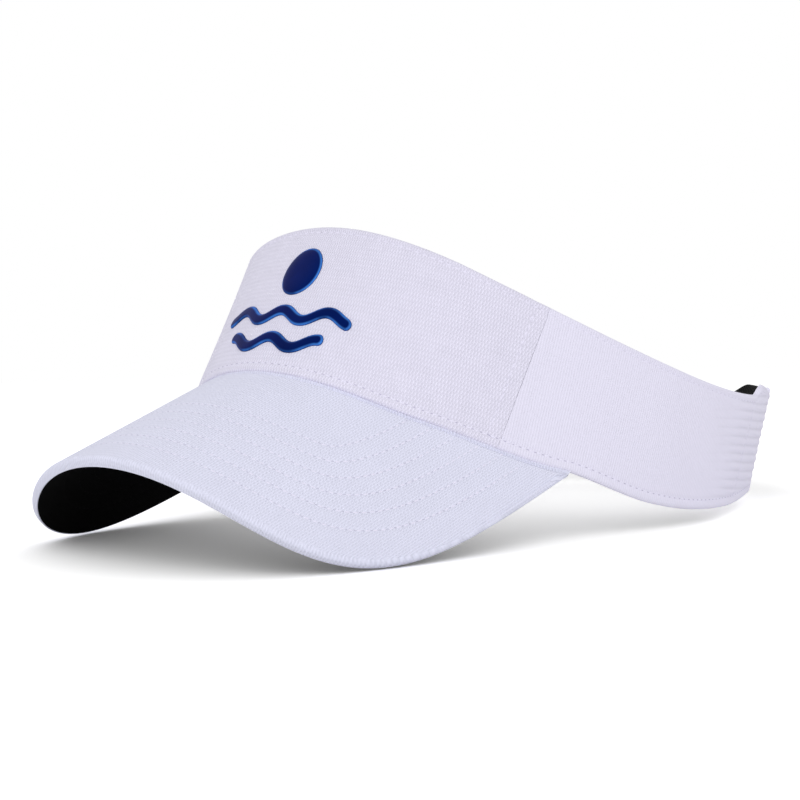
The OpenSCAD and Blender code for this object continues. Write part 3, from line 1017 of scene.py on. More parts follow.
@dataclass
class Sewing:
    """Rows of stitches and the dark marks between them, which paint the shade in the needle holes."""

    pitch: float = 2.85
    share: float = 0.74
    width: float = 0.5
    height: float = 0.24
    aim_share: float = 0.4
    dip: float = 0.16
    lift: float = 0.02
    # Size of the dark marks that paint the shade in the needle holes, mm.
    mark_length: float = 1.1
    mark_width: float = 0.4
    mark_height: float = 0.12

    def stitch(self) -> Piece:
        """One stitch along x: a rod whose ends are drawn down into the cloth."""
        clear()
        bpy.ops.mesh.primitive_uv_sphere_add(segments=6, ring_count=6, radius=0.5)
        rod = bpy.context.object
        bpy.ops.object.mode_set(mode="EDIT")
        bpy.ops.mesh.select_all(action="SELECT")
        bpy.ops.transform.rotate(value=QUARTER, orient_axis="Y", center_override=(0.0, 0.0, 0.0))
        bpy.ops.object.mode_set(mode="OBJECT")
        for corner in rod.data.vertices:
            x = corner.co.x
            full = max(0.0, 1.0 - (2.0 * x) ** 2) ** 0.5
            thick = max(0.0, 1.0 - abs(2.0 * x) ** 3.0) ** 0.5 / full if full > 1e-6 else 0.0
            corner.co.y *= thick * self.width * MM
            corner.co.z *= thick * self.height * MM
            corner.co.z -= self.dip * MM * (2.0 * x) ** 2
            corner.co.x *= self.pitch * self.share * MM
        return rod

    def mark(self) -> Piece:
        """One needle-hole mark along x: a flat dark dimple between two stitches that paints the shade in the
        hole.
        """
        clear()
        bpy.ops.mesh.primitive_uv_sphere_add(segments=8, ring_count=4, radius=0.5)
        dent = bpy.context.object
        bpy.ops.object.mode_set(mode="EDIT")
        bpy.ops.mesh.select_all(action="SELECT")
        size = (self.mark_length * MM, self.mark_width * MM, self.mark_height * MM)
        bpy.ops.transform.resize(value=size, center_override=(0.0, 0.0, 0.0))
        bpy.ops.object.mode_set(mode="OBJECT")
        return dent

    def spread(self, line: Array, normals: Array, start: float) -> Pair:
        """Places of stitches along a line.

        Args:
            line: Points of the line, metres.
            normals: Outward normals at them.
            start: Distance of the first place, mm.

        Returns:
            Centres and axes.
        """
        along = reach_along(line)
        places = np.arange(start * MM, along[-1], self.pitch * MM)

        def at(spots: Array, values: Array) -> Array:
            """Values of the line's points, read at distances along it."""
            return np.stack([np.interp(spots, along, values[:, k]) for k in range(3)], -1)

        centres = at(places, line)
        ups = unit(at(places, normals))
        reach = self.aim_share * self.pitch * MM
        forward = at(places + reach, line) - at(places - reach, line)
        forward = unit(forward - (forward * ups).sum(1)[:, None] * ups)
        return centres, np.stack([forward, np.cross(ups, forward), ups], 1)

    def rows(self, lines: Sequence[Pair], start: float) -> Pair:
        """Places of stitches along several lines, as one list of centres and one of axes."""
        found = [self.spread(line, normals, start) for line, normals in lines]
        return np.concatenate([row[0] for row in found]), np.concatenate([row[1] for row in found])

    def sew(
        self, name: str, lines: Sequence[Pair], thread: ThreadFinish, body: Body,
        marks: ThreadFinish | None = None,
    ) -> None:
        """Stitches along several lines, with the dark marks between them that paint the shade in the needle
        holes.

        Args:
            name: Name of the stitching.
            lines: Points and normals of each line.
            thread: Finish of the thread.
            body: The body that it rides on.
            marks: Finish of the marks that paint the shade in the needle holes, if they show.
        """
        centres, axes = self.rows(lines, self.pitch * 0.5)
        raised = centres + axes[:, 2] * self.lift * MM
        dress(copies(name + "_stitches", self.stitch(), raised, axes), thread, body)
        # Dark marks between the stitches paint the shade in the needle holes.
        if marks is not None:
            centres, axes = self.rows(lines, 0.0)
            dress(copies(name + "_needle_hole_shade", self.mark(), centres, axes), marks, body)


@dataclass
class Crown:
    """The outer cloth: a front panel and two side panels with rolled edges, sewn lines and puckered ends."""

    form: CrownForm
    stance: Stance
    sewing: Sewing
    cloth_thick: float = 1.0
    top_roll: float = 1.65
    low_roll: float = 1.35
    seam_roll: float = 0.12
    top_stitch: float = 2.4
    low_stitch: float = 3.3
    seam_stitch: float = 4.6
    seam_raise: float = 0.3
    seam_band: float = 6.2
    seam_fade: float = 2.2
    seam_gap: float = 0.02
    swell: float = 0.18
    swell_place: float = 1.1
    swell_width: float = 0.9
    ripple: float = 0.16
    ripple_run: float = 19.0
    ripple_rise: float = 11.0
    end_line_angle: float = 109.0
    valley: float = 0.22
    valley_width: float = 0.75
    pucker_pitch: float = PUCKER_PITCH
    pucker_depth: float = 0.36
    pucker_reach: float = 26.0
    serration: float = 0.2
    serration_pitch: float = 1.45
    bead: float = 1.05
    bead_depths: tuple[float, float] = (1.1, 0.62)
    bead_grow: float = 14.0
    fine_angle: float = 98.0
    stand_angle: float = 3.6
    fall_start: float = 112.0
    fall_angle: float = 16.0
    fold_rise: float = 4.0
    fold_fall: float = 5.8
    fold_inward: float = 1.15
    fold_half_height: float = 1.15
    fold_half_length: float = 1.6
    fold_hang: float = 2.4
    fold_setback: float = 1.3
    fold_sink: float = 0.8
    fold_stand: float = 0.25
    seam_columns: tuple[float, ...] = (0.0, 0.1, 0.25, 0.45, 0.7, 1.0, 1.5, 2.2)
    rim_rows: tuple[float, ...] = (0.0, 0.08, 0.2, 0.38, 0.62, 0.92, 1.3, 1.8, 2.4)

    def __post_init__(self) -> None:
        """Draws the edges in flat cloth, distance along by height."""
        form = self.form
        t = np.concatenate([np.linspace(0.0, form.corner_start, 200), self.corner_angles(160)[1:]])
        self.top_line = np.stack([form.run(t), self.rim(t)], -1)
        self.low_line = np.concatenate([self.low_edge(t), self.top_line[-1:]])

    def rim(self, t: Array) -> Array:
        """Height of the sewn top edge, with the thick folded cloth that stands up at a panel's end."""
        a = np.abs(t)
        stand = self.fold_rise * smooth((a - self.end_line_angle) / self.stand_angle)
        return self.form.upper(t) + stand - self.fold_fall * smooth((a - self.fall_start) / self.fall_angle)

    def low_edge(self, t: Array) -> Array:
        """The sewn lower edge in flat cloth."""
        return np.stack([self.form.run(t), self.form.hem(t)], -1)

    def run_at(self, angle: float) -> float:
        """Length along the plan at one angle, mm."""
        return float(self.form.run(np.array(angle)))

    def corner_angles(self, count: int) -> Array:
        """Angles round the rear corner, closer together towards its end."""
        turn = np.linspace(0.0, QUARTER, count)
        return self.form.corner_start + self.form.corner_angle * np.sin(turn)

    def seam_angle(self, share: Array) -> Array:
        """Angle of the side seam at a share of the wall's height."""
        form = self.form
        return form.seam_low_angle + (form.seam_top_angle - form.seam_low_angle) * share

    def relief(self, t: Array, z: Array) -> Array:
        """Depth of the outer cloth's face.

        Args:
            t: Angle from the front, degrees.
            z: Height, mm.

        Returns:
            Depth inside the plain wall, mm, negative outwards.
        """
        form = self.form
        shape = np.shape(t)
        a = np.abs(t).ravel()
        h = np.asarray(z).ravel()
        flat = np.stack([form.run(a), h], -1)
        from_top = line_distance(flat, self.top_line)
        from_low = line_distance(flat, self.low_line)
        share = (h - form.hem(a)) / np.maximum(form.upper(a) - form.hem(a), 1e-6)
        from_seam = np.abs(flat[:, 0] - form.run(self.seam_angle(share)))
        depth = np.maximum(roll(from_top, self.top_roll), roll(from_low, self.low_roll))
        depth = np.maximum(depth, roll(from_seam, self.seam_roll))
        middle = smooth((from_top - 1.0) / 3.0) * smooth((from_low - 1.0) / 3.0)
        depth -= self.seam_raise * smooth((self.seam_band - from_seam) / self.seam_fade) * middle
        sewn = (from_top - self.top_stitch, from_low - self.low_stitch, from_seam - self.seam_stitch)
        for distance in sewn:
            depth += self.valley * hump(distance, self.valley_width)
        depth -= self.swell * hump(from_top - self.swell_place, self.swell_width) * smooth(from_top / 0.8)
        from_end = flat[:, 0] - self.run_at(self.end_line_angle)
        depth += self.valley * hump(from_end, self.valley_width) * middle
        depth -= self.puckers(a, h, from_top, from_low)
        waves = np.sin(flat[:, 0] / self.ripple_run + 0.7) * np.sin(h / self.ripple_rise)
        depth -= self.ripple * waves * middle
        return depth.reshape(shape)

    def puckers(self, a: Array, h: Array, from_top: Array, from_low: Array) -> Array:
        """Height of the level puckers that the gathered end of a side panel has, mm."""
        form = self.form
        run = form.run(a) - self.run_at(self.end_line_angle)
        reach = self.run_at(form.end_angle) - self.run_at(self.end_line_angle)
        grow = smooth((run + self.pucker_reach) / self.pucker_reach)
        grow = grow * smooth((from_top - 1.6) / 3.0) * smooth((from_low - 0.2) / 2.0)
        level = self.stance.wall(a, h)[..., 2] / MM
        grow = grow * smooth((level - PUCKER_FOOT) / PUCKER_FOOT)
        fall = PUCKER_FALL * (form.run(a) - PUCKER_START)
        wave = -np.cos(TURN * (level + fall) / self.pucker_pitch)
        strength = 0.8 + 0.2 * np.sin(h * 0.9 + run * 0.12)
        edge = smooth((run - reach + 10.0) / 6.0) * smooth((from_top - 1.0) / 2.0)
        fine = np.cos(TURN * h / self.serration_pitch)
        return 0.5 * self.pucker_depth * grow * strength * wave + self.serration * edge * fine

    def heights(self, low: Array, top: Array, rows: int) -> Array:
        """Rows between two edges, closer together at both.

        Args:
            low: Lower edge of each column.
            top: Upper edge of each column.
            rows: Number of rows between the rims.

        Returns:
            Heights, (columns, rows).
        """
        rim = np.array(self.rim_rows)
        room = (top - low)[:, None]
        first = rim[None] + 0.0 * room
        last = room - rim[::-1][None]
        share = np.linspace(0.0, 1.0, rows + 1)[None, 1:-1]
        between = rim[-1] + (room - 2.0 * rim[-1]) * share
        return low[:, None] + np.concatenate([first, between, last], 1)

    def surface(self, t: Array, z: Array) -> Array:
        """Point of the outer face, metres, in the row frame."""
        return self.stance.wall(t, z, self.relief(t, z))

    def panel(self, name: str, columns: Array, slants: Array, rows: int, finish: ClothFinish) -> None:
        """One panel of outer cloth.

        Args:
            name: The panel's CAD node.
            columns: Angles of its columns at the lower edge, rising.
            slants: How far each column leans to its upper edge, degrees.
            rows: Rows between the rims.
            finish: Its cloth.
        """
        form = self.form
        tops = columns + slants
        low = form.hem(columns)
        top = self.rim(tops)
        z = self.heights(low, top, rows)
        share = (z - low[:, None]) / (top - low)[:, None]
        t = columns[:, None] + slants[:, None] * share
        piece = cloth(name + "_cloth", self.surface(t, z), form.run(t) + UV_MIDDLE, z + UV_RISE)
        thicken(piece, self.cloth_thick)
        dress(piece, finish, Body.CROWN, (name,))

    def build(self) -> None:
        """Builds the three panels and their stitching."""
        form = self.form
        gap = math.degrees(self.seam_gap / form.front_side)
        half = form.seam_low_angle - gap
        lean = form.seam_top_angle - form.seam_low_angle
        seam = np.array(self.seam_columns) / form.front_side * 180.0 / math.pi
        inner = np.linspace(-half + seam[-1], half - seam[-1], 150)
        front = np.concatenate([-half + seam[:-1], inner, half - seam[-2::-1]])
        self.panel("front_panel", front, lean * front / half, 56, FRONT_CLOTH)
        start = form.seam_low_angle + gap
        body = np.linspace(start + seam[-1], self.fine_angle, 60)
        near = np.linspace(self.fine_angle, form.corner_start, 24)
        side = np.concatenate([start + seam[:-1], body[:-1], near[:-1], self.corner_angles(110)])
        slant = lean * (form.end_angle - side) / (form.end_angle - start)
        self.panel("left_side_panel", side, slant, 120, SIDE_CLOTH)
        self.panel("right_side_panel", -side[::-1], -slant[::-1], 120, SIDE_CLOTH)
        left, right = self.bead_depths
        self.end_bead("left_end_bead", 1.0, left)
        self.end_bead("right_end_bead", -1.0, right)
        self.end_folds()
        self.stitch()

    def end_path(self) -> Array:
        """Path of the rolled edge round a panel's end, in flat cloth."""
        form = self.form
        corner = self.low_edge(self.corner_angles(120)[30:])
        rise = np.linspace(corner[-1, 1], self.rim(np.array(form.end_angle)) - self.fold_sink, 110)[1:]
        end = np.stack([np.full(len(rise), corner[-1, 0]), rise], -1)
        return self.inset(np.concatenate([corner, end]), self.bead)

    def end_bead(self, name: str, side: float, deep: float) -> None:
        """Cloth rolled in along a panel's end.

        Args:
            name: The piece's name.
            side: 1 for the wearer's left, -1 for the right.
            deep: Half of its depth, mm.
        """
        path = self.end_path()
        length = reach_along(path)
        grow = smooth(length / self.bead_grow)
        ridge = 1.0 + 0.13 * np.cos(TURN * length / self.serration_pitch) * grow
        turn = np.linspace(0.0, TURN, 21)
        reach = (self.bead * ridge)[:, None] * np.cos(turn)[None]
        flat = path[:, None, :] - left_of(path)[:, None, :] * reach[..., None]
        half = deep * (0.35 + 0.65 * grow) * ridge + 0.12 * grow
        depth = deep + half[:, None] * np.sin(turn)[None] * side
        points = self.stance.wall(side * self.angle_at(flat[..., 0], True), flat[..., 1], depth)
        around = rows_of(turn * self.bead, len(path))
        along = columns_of(length, len(turn))
        piece = close(cloth(name, points, around + 100.0, along + 100.0))
        dress(piece, HEM_CLOTH, Body.CROWN)

    def end_folds(self) -> None:
        """Thick folded cloth at the top of both panel ends."""
        clear()
        bpy.ops.mesh.primitive_uv_sphere_add(segments=28, ring_count=18, radius=1.0)
        fold = bpy.context.object
        for corner in fold.data.vertices:
            dent = 1.0 + 0.06 * math.sin(5.0 * corner.co.x + 2.0 * corner.co.z)
            hang = self.fold_hang if corner.co.y < 0.0 else 0.0
            corner.co.x *= self.fold_half_length * dent * MM
            corner.co.y *= (self.fold_half_height + hang) * dent * MM
            corner.co.z *= self.fold_inward * MM
        form = self.form
        end = np.array(form.end_angle)
        t = np.array([1.0, -1.0]) * (form.end_angle - math.degrees(self.fold_setback / form.back_radius))
        z = np.full(2, float(self.rim(end)) - self.fold_sink)
        sunk = self.fold_inward - self.fold_stand
        centre = self.stance.wall(t, z, sunk)
        inner = self.stance.wall(t, z, self.fold_inward + 1.0)
        above = self.stance.wall(t, z + 1.0, sunk)
        inward = unit(inner - centre)
        up = unit(above - centre)
        axes = np.stack([np.cross(up, inward), up, inward], 1)
        dress(copies("end_folds", fold, centre, axes), FOLD_CLOTH, Body.CROWN)

    def line(self, t: Array, z: Array) -> Pair:
        """A sewn line on the outer face: its points and normals."""
        step = 0.4
        wall = self.stance.wall
        along = wall(t + step, z) - wall(t - step, z)
        up = wall(t, z + step) - wall(t, z - step)
        return self.surface(t, z), unit(np.cross(along, up))

    def inset(self, line: Array, distance: float) -> Array:
        """A line in flat cloth moved to its left by a distance, mm."""
        return line + left_of(line) * distance

    def angle_at(self, run: Array, beyond: bool = False) -> Array:
        """Angle from the front at a length along the plan, past the panel's end where that is wanted."""
        t = np.linspace(0.0, self.form.end_angle + (3.0 if beyond else 0.0), 4000)
        return np.interp(run, self.form.run(t), t)

    def stitch(self) -> None:
        """Sews the panels: both edges, the side seams and the gathered ends."""
        form = self.form
        t = np.linspace(0.0, form.end_angle - 1.2, 420)
        top = self.inset(np.stack([form.run(t), self.rim(t)], -1), -self.top_stitch)
        fine = np.concatenate([np.linspace(0.0, form.corner_start, 300), self.corner_angles(160)[1:-1]])
        low = self.inset(self.low_edge(fine), self.low_stitch)
        low = low[low[:, 0] < self.run_at(form.end_angle) - self.low_stitch]
        end_top = self.rim(np.array(form.end_angle)) - self.top_stitch - 1.0
        rise = np.linspace(low[-1, 1], end_top, 60)[1:]
        low = np.concatenate([low, np.stack([np.full(len(rise), low[-1, 0]), rise], -1)])
        share = np.linspace(0.08, 0.93, 80)
        seam = self.seam_angle(share)
        seam_z = form.hem(seam) + (form.upper(seam) - form.hem(seam)) * share
        across = np.full(60, self.end_line_angle)
        across_z = np.linspace(form.hem(across)[0] + 4.6, form.upper(across)[0] - 3.0, 60)
        lines = []
        seams = []
        for side in (-1.0, 1.0):
            lines.append(self.line(side * self.angle_at(low[:, 0]), low[:, 1]))
            seams.append(self.line(side * self.angle_at(top[:, 0]), top[:, 1]))
            for offset in (-self.seam_stitch, self.seam_stitch):
                seams.append(self.line(side * self.angle_at(form.run(seam) + offset), seam_z))
            seams.append(self.line(side * across, across_z))
        self.sewing.sew("crown_edge", lines, WHITE_THREAD, Body.CROWN, NEEDLE_SHADE)
        self.sewing.sew("crown_seam", seams, WHITE_THREAD, Body.CROWN, FAINT_SHADE)


@dataclass
class Bill:
    """The arched bill: a covered rim, rows of stitching on top and a dark cloth underneath."""

    form: CrownForm
    stance: Stance
    sewing: Sewing
    cloth_thick: float = 0.7
    lip: float = 0.25
    rim_radius: float = 1.6
    heel_radius: float = 0.2
    under_thick: float = 0.5
    under_step: float = 0.12
    under_inset: float = 0.22
    under_gap: float = 0.05
    under_roll: float = 0.3
    under_valley: float = 0.7
    first_row: float = 11.0
    row_spacing: float = 6.3
    row_count: int = 6
    valley: float = 0.14
    valley_width: float = 0.7
    root_zone: float = 3.0
    root_tuck: float = 0.96
    groove_depth: float = 0.7
    groove_place: float = 0.15
    groove_width: float = 0.55
    groove_fade: float = 12.0
    columns: int = 210
    reach: float = 0.997
    under_reach: float = 0.985

    def length(self, v: Array) -> Array:
        """Distance from the edge to the root, mm."""
        return np.linalg.norm(self.form.bill(v, np.ones_like(v)) - self.edge(v), axis=1)

    def edge(self, v: Array) -> Array:
        """Points of the bill's edge, mm."""
        return self.form.bill(v, np.zeros_like(v))

    def from_edge(self, points: Array) -> Array:
        """Distance of points of the upper surface from the bill's edge, mm."""
        edge = self.edge(np.linspace(-1.0, 1.0, 260))
        return line_distance(points.reshape(-1, 3), edge).reshape(points.shape[:-1])

    def relief(self, distance: Array) -> Array:
        """Depth of the valleys along the rows of stitching, mm."""
        depth = np.zeros_like(distance)
        for k in range(self.row_count):
            gap = distance - self.first_row - self.row_spacing * k
            depth += self.valley * hump(gap, self.valley_width)
        return depth

    def groove(self, from_root: Array, length: Array) -> Array:
        """Depth of the crease in front of the crown, which fades out at the bill's ends, mm."""
        shape = hump(from_root - self.groove_place, self.groove_width)
        return self.groove_depth * shape * smooth(length / self.groove_fade)

    def flat(self, points: Array) -> Pair:
        """Distance across and along the flat cloth, mm.

        Args:
            points: Points of the bill, mm.

        Returns:
            Distance across the arch, and along the slope.
        """
        square, quartic = self.form.arch
        x = np.linspace(0.0, 90.0, 900)
        rise = np.sqrt(1.0 + (2.0 * square * x + 4.0 * quartic * x**3) ** 2)
        run = np.concatenate([[0.0], np.cumsum((rise[1:] + rise[:-1]) / 2.0 * np.diff(x))])
        across = np.sign(points[..., 0]) * np.interp(np.abs(points[..., 0]), x, run)
        return across, points[..., 1] / math.cos(math.radians(self.form.bill_slope))

    def build(self) -> None:
        """Builds the covers and their stitching, and dresses the board between them."""
        self.top_cover()
        self.under_cover()
        self.stitch()
        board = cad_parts["bill_board"]
        board.data.materials.clear()
        board.data.materials.append(BOARD_PLASTIC.material())

    def top_cover(self) -> None:
        """White cloth over the bill, round its rim and a little under it."""
        form = self.form
        v = np.linspace(-self.reach, self.reach, self.columns + 1)
        length = self.length(v)
        deep = np.minimum(form.bill_thick - self.under_step, 0.8 * length)
        top = np.minimum(self.rim_radius, 0.5 * deep)
        low = np.minimum(self.heel_radius, 0.2 * deep)
        lip = np.minimum(self.lip, 0.2 * length)
        start = top / length
        edge = self.edge(v)
        step = 0.0005
        tangent = self.edge(v + step) - self.edge(v - step)
        normal = form.bill_normal(edge[:, 0])
        out = unit(np.cross(tangent, normal))
        offsets = [(-low - lip * share, deep) for share in (1.0, 0.5)]
        for turn in np.linspace(0.0, QUARTER, 6):
            offsets.append((low * (math.sin(turn) - 1.0), deep - low * (1.0 - math.cos(turn))))
        for turn in np.linspace(0.0, QUARTER, 10):
            offsets.append((top * (math.cos(turn) - 1.0), top * (1.0 - math.sin(turn))))
        rows = [edge + out * across[:, None] - normal * depth[:, None] for across, depth in offsets]
        rows[-1] = form.bill(v, start)
        spans = [-depth - np.maximum(-across - low, 0.0) * (depth > top) for across, depth in offsets]
        near = 1.0 - np.minimum(self.root_zone / length, 0.25)
        behind = 1.0 + self.root_tuck / np.maximum(length, 1.2)
        u_rows = [start + (near - start) * share for share in np.linspace(0.0, 1.0, 96)[1:]]
        u_rows += [near + (behind - near) * share for share in np.linspace(0.0, 1.0, 19)[1:]]
        for u in u_rows:
            face = form.bill(v, u)
            depth = self.relief(self.from_edge(face)) + self.groove((1.0 - u) * length, length)
            rows.append(form.bill(v, u, depth))
            spans.append(None)
        points = np.stack(rows, 1)
        across, along = self.flat(points)
        rim_across, rim_along = self.flat(rows[len(offsets) - 1])
        for j, span in enumerate(spans):
            if span is not None:
                along[:, j] = rim_along + span
                across[:, j] = rim_across
        placed = self.stance.place(points)
        piece = cloth("bill_top_cover_cloth", placed, across + UV_MIDDLE, along + UV_MIDDLE)
        thicken(piece, self.cloth_thick)
        dress(piece, BILL_CLOTH, Body.CROWN, ("bill_top_cover",))

    def under_cover(self) -> None:
        """Dark cloth under the bill, inside the rim."""
        form = self.form
        v = np.linspace(self.under_reach, -self.under_reach, 161)
        length = self.length(v)
        deep = np.minimum(form.bill_thick, 0.8 * length + self.under_step)
        start = self.under_inset / length
        rows = []
        for share in np.linspace(0.0, 1.0, 84) ** 1.3:
            u = start + (1.0 - start) * share
            face = form.bill(v, u)
            inside = (u - start) * length
            sewn = self.under_valley * self.relief(self.from_edge(face))
            depth = deep - roll(inside, self.under_roll) - sewn
            rows.append(form.bill(v, u, depth))
        points = np.stack(rows, 1)
        across, along = self.flat(points)
        placed = self.stance.place(points)
        piece = cloth("bill_under_cloth", placed, across + UV_MIDDLE, along + UV_MIDDLE)
        thicken(piece, self.under_thick - self.under_gap)
        dress(piece, UNDER_CLOTH, Body.CROWN, ("bill_under_cover",))

    def row_lines(self, depth: float) -> list[Pair]:
        """Rows of stitching at even distances from the edge.

        Args:
            depth: Depth of the row under the upper surface, mm.

        Returns:
            Points and outward normals of each row.
        """
        form = self.form
        v = np.linspace(-self.under_reach, self.under_reach, 420)
        u = np.linspace(0.0, 1.0, 140)
        distance = self.from_edge(form.bill(columns_of(v, len(u)), rows_of(u, len(v))))
        sign = 1.0 if depth <= 1.0 else -1.0
        lines = []
        for k in range(self.row_count):
            wanted = self.first_row + self.row_spacing * k
            reached = distance.max(1) > wanted + 0.5
            rising = np.maximum.accumulate(distance[reached], 1)
            found_v = v[reached]
            found_u = np.array([np.interp(wanted, row, u) for row in rising])
            plain = form.bill(found_v, found_u)
            points = form.bill(found_v, found_u, depth + sign * self.valley)
            normals = form.bill_normal(plain[:, 0]) * sign
            lines.append((self.stance.place(points), self.stance.turned(normals)))
        return lines

    def stitch(self) -> None:
        """Sews the rows through both covers."""
        self.sewing.sew("bill", self.row_lines(0.0), WHITE_THREAD, Body.CROWN, BILL_SHADE)
        self.sewing.sew("bill_under", self.row_lines(self.form.bill_thick), UNDER_THREAD, Body.CROWN)


@dataclass
class Lining:
    """What lies behind the outer cloth: hem, stiffener, tapes, binding, foam and sweatband."""

    form: CrownForm
    stance: Stance
    crown: Crown
    sewing: Sewing
    lining_angle: float = 104.0
    hem_height: float = 10.0
    hem_depth: float = 3.3
    hem_thick: float = 0.9
    hem_sink: float = 0.02
    hem_stitches: tuple[float, float] = (2.4, 8.2)
    hem_valley: float = 0.2
    hem_valley_width: float = 0.8
    hem_step: float = 0.3
    hem_step_place: float = 9.0
    stiff_depth: float = 1.35
    stiff_thick: float = 0.8
    stiff_sheet: float = 0.7
    stiff_wave: float = 0.08
    tape_width: float = 12.0
    tape_depth: float = 1.95
    tape_thick: float = 0.5
    tape_crest: float = 0.35
    tape_stitch: float = 0.76
    tape_stitch_depth: float = 1.98
    binding_height: float = 6.0
    binding_depth: float = 1.35
    binding_inside: float = 3.35
    binding_corner: float = 0.9
    band_height: float = 32.0
    band_depth: float = 3.5
    band_thick: float = 1.4
    band_puff: float = 0.9
    band_corner: float = 0.8
    band_stitch_rise: float = 2.6
    band_stitch_fall: float = 2.2
    band_stitch_lift: float = 0.02
    padding_height: float = 22.0
    padding_angle: float = 52.0
    padding_depth: float = 2.3
    padding_thick: float = 1.05
    padding_corner: float = 0.5
    side_gap: float = 1.0
    edge_bevel: float = 0.15
    tuck: float = 1.3

    def tucked(self, t: Array) -> Array:
        """Height of the lining's lower edge, a little above the outer cloth's."""
        return self.form.hem(t) + self.tuck * smooth((np.abs(t) - self.form.root_angle + 4.0) / 6.0)

    def above_binding(self, t: Array) -> Array:
        """Height at which the layers above the binding start."""
        return self.form.lower(t) + self.binding_height + self.side_gap

    def below_hem(self, t: Array) -> Array:
        """Height at which the layers under the hem end."""
        return self.form.upper(t) - self.hem_height - self.side_gap

    def section(self, height: float, outside: float, inside: Array, corner: float) -> Pair:
        """A rounded strip's section, heights and depths, from its lower outer corner round to it.

        Args:
            height: Height of the strip, mm.
            outside: Depth of its outer face, mm.
            inside: Depth of its inner face at even places up the strip, mm.
            corner: Radius of its edges, mm.

        Returns:
            Heights and depths of the section's points, closed.
        """
        h = np.linspace(0.0, 1.0, len(inside)) * height
        pull = np.minimum(roll(np.minimum(h, height - h), corner), (inside - outside) / 2.0)
        outer = outside + pull
        inner = inside - pull
        return np.concatenate([h, h[::-1], h[:1]]), np.concatenate([outer, inner[::-1], outer[:1]])

    def strip(
        self, name: str, node: str, angles: Array, base: Callable[[Array], Array],
        section: Callable[[float], Pair], finish: ClothFinish,
    ) -> Piece:
        """A closed strip that runs along the crown.

        Args:
            name: The piece's name.
            node: The CAD node that it replaces.
            angles: Angles of its columns.
            base: Height of the strip's lower edge at those angles.
            section: The section at an angle: heights and depths.
            finish: Its cloth.

        Returns:
            The piece.
        """
        low = base(angles)
        sections = [section(float(t)) for t in angles]
        heights = np.stack([part[0] for part in sections])
        depths = np.stack([part[1] for part in sections])
        t = columns_of(angles, heights.shape[1])
        points = self.stance.wall(t, low[:, None] + heights, depths)
        steps = np.abs(np.diff(heights[0])) + np.abs(np.diff(depths[0]))
        widths = rows_of(np.concatenate([[0.0], np.cumsum(steps)]), len(angles))
        piece = close(cloth(name, points, self.form.run(t) + UV_MIDDLE, widths + 20.0))
        return dress(piece, finish, Body.CROWN, (node,))

    def facing(
        self, name: str, node: str, angles: Array, low: Array, top: Array,
        depth: Callable[[Array, Array], Array], thick: float, finish: ClothFinish, rows: int = 24,
    ) -> None:
        """A sheet that faces into the crown.

        Args:
            name: The piece's name.
            node: The CAD node that it replaces.
            angles: Angles of its columns, falling.
            low: Its lower edge.
            top: Its upper edge.
            depth: Depth of its face from the height share and the distance to its top, mm.
            thick: Its thickness, mm.
            finish: Its cloth.
            rows: Its rows.
        """
        share = 1.0 - (1.0 - np.linspace(0.0, 1.0, rows + 1)) ** 1.6
        z = low[:, None] + (top - low)[:, None] * share[None]
        t = columns_of(angles, rows + 1)
        depths = depth(rows_of(share, len(angles)), top[:, None] - z)
        points = self.stance.wall(t, z, depths)
        piece = cloth(name, points, UV_MIDDLE - self.form.run(t), z + UV_RISE)
        thicken(piece, thick, self.edge_bevel)
        dress(piece, finish, Body.CROWN, (node,))

    def build(self) -> None:
        """Builds every layer and its stitching."""
        self.hem()
        self.stiffener()
        self.tapes()
        self.binding()
        self.padding()
        self.sweatband()

    def hem(self) -> None:
        """Cloth turned in over the top edge."""
        form = self.form
        t = np.linspace(self.lining_angle, -self.lining_angle, 240)
        edge = self.crown.top_roll
        top = form.upper(t) - self.hem_sink

        def depth(share: Array, fall: Array) -> Array:
            """Depth of the hem's face: round at its top, drawn in at its stitching."""
            valley = sum(hump(fall - place, self.hem_valley_width) for place in self.hem_stitches)
            step = self.hem_step * smooth(fall - self.hem_step_place)
            return self.hem_depth - roll(fall, edge) - self.hem_valley * valley - step

        low = top - self.hem_height
        self.facing("top_hem_cloth", "top_hem", t, low, top, depth, self.hem_thick, HEM_CLOTH, 30)
        angles = np.linspace(-self.lining_angle + 1.0, self.lining_angle - 1.0, 500)
        sunk = self.hem_depth - self.hem_valley
        lines = [self.inside_line(angles, form.upper(angles) - fall, sunk) for fall in self.hem_stitches]
        self.sewing.sew("top_hem", lines, WHITE_THREAD, Body.CROWN, NEEDLE_SHADE)

    def inside_line(self, t: Array, z: Array, depth: float) -> Pair:
        """A sewn line on a face that looks into the crown: its points and normals."""
        points = self.stance.wall(t, z, depth)
        return points, unit(self.stance.wall(t, z, depth + 1.0) - points)

    def stiffener(self) -> None:
        """Buckram behind the front panel."""
        form = self.form
        half = form.seam_low_angle - math.degrees((self.tape_width / 2.0 + self.side_gap) / form.front_side)
        t = np.linspace(half, -half, 120)
        low = self.above_binding(t)
        top = self.below_hem(t)

        def depth(share: Array, fall: Array) -> Array:
            """Depth of the stiffener's face, a little uneven."""
            return self.stiff_depth + self.stiff_thick + self.stiff_wave * np.sin(share * 9.0)

        self.facing("stiffener_cloth", "front_stiffener", t, low, top, depth, self.stiff_sheet, STIFF_CLOTH)

    def tapes(self) -> None:
        """Tape over each side seam, with a line of stitching along both its edges."""
        form = self.form
        middle = (form.seam_low_angle + form.seam_top_angle) / 2.0
        half = math.degrees(self.tape_width / 2.0 / form.front_side)
        crest = self.tape_crest * hump(np.linspace(1.0, -1.0, 25), 0.35)

        def depth(share: Array, fall: Array) -> Array:
            """Depth of the tape's face: it lies over the seam's ridge."""
            return self.tape_depth + crest[:, None] + 0.0 * fall

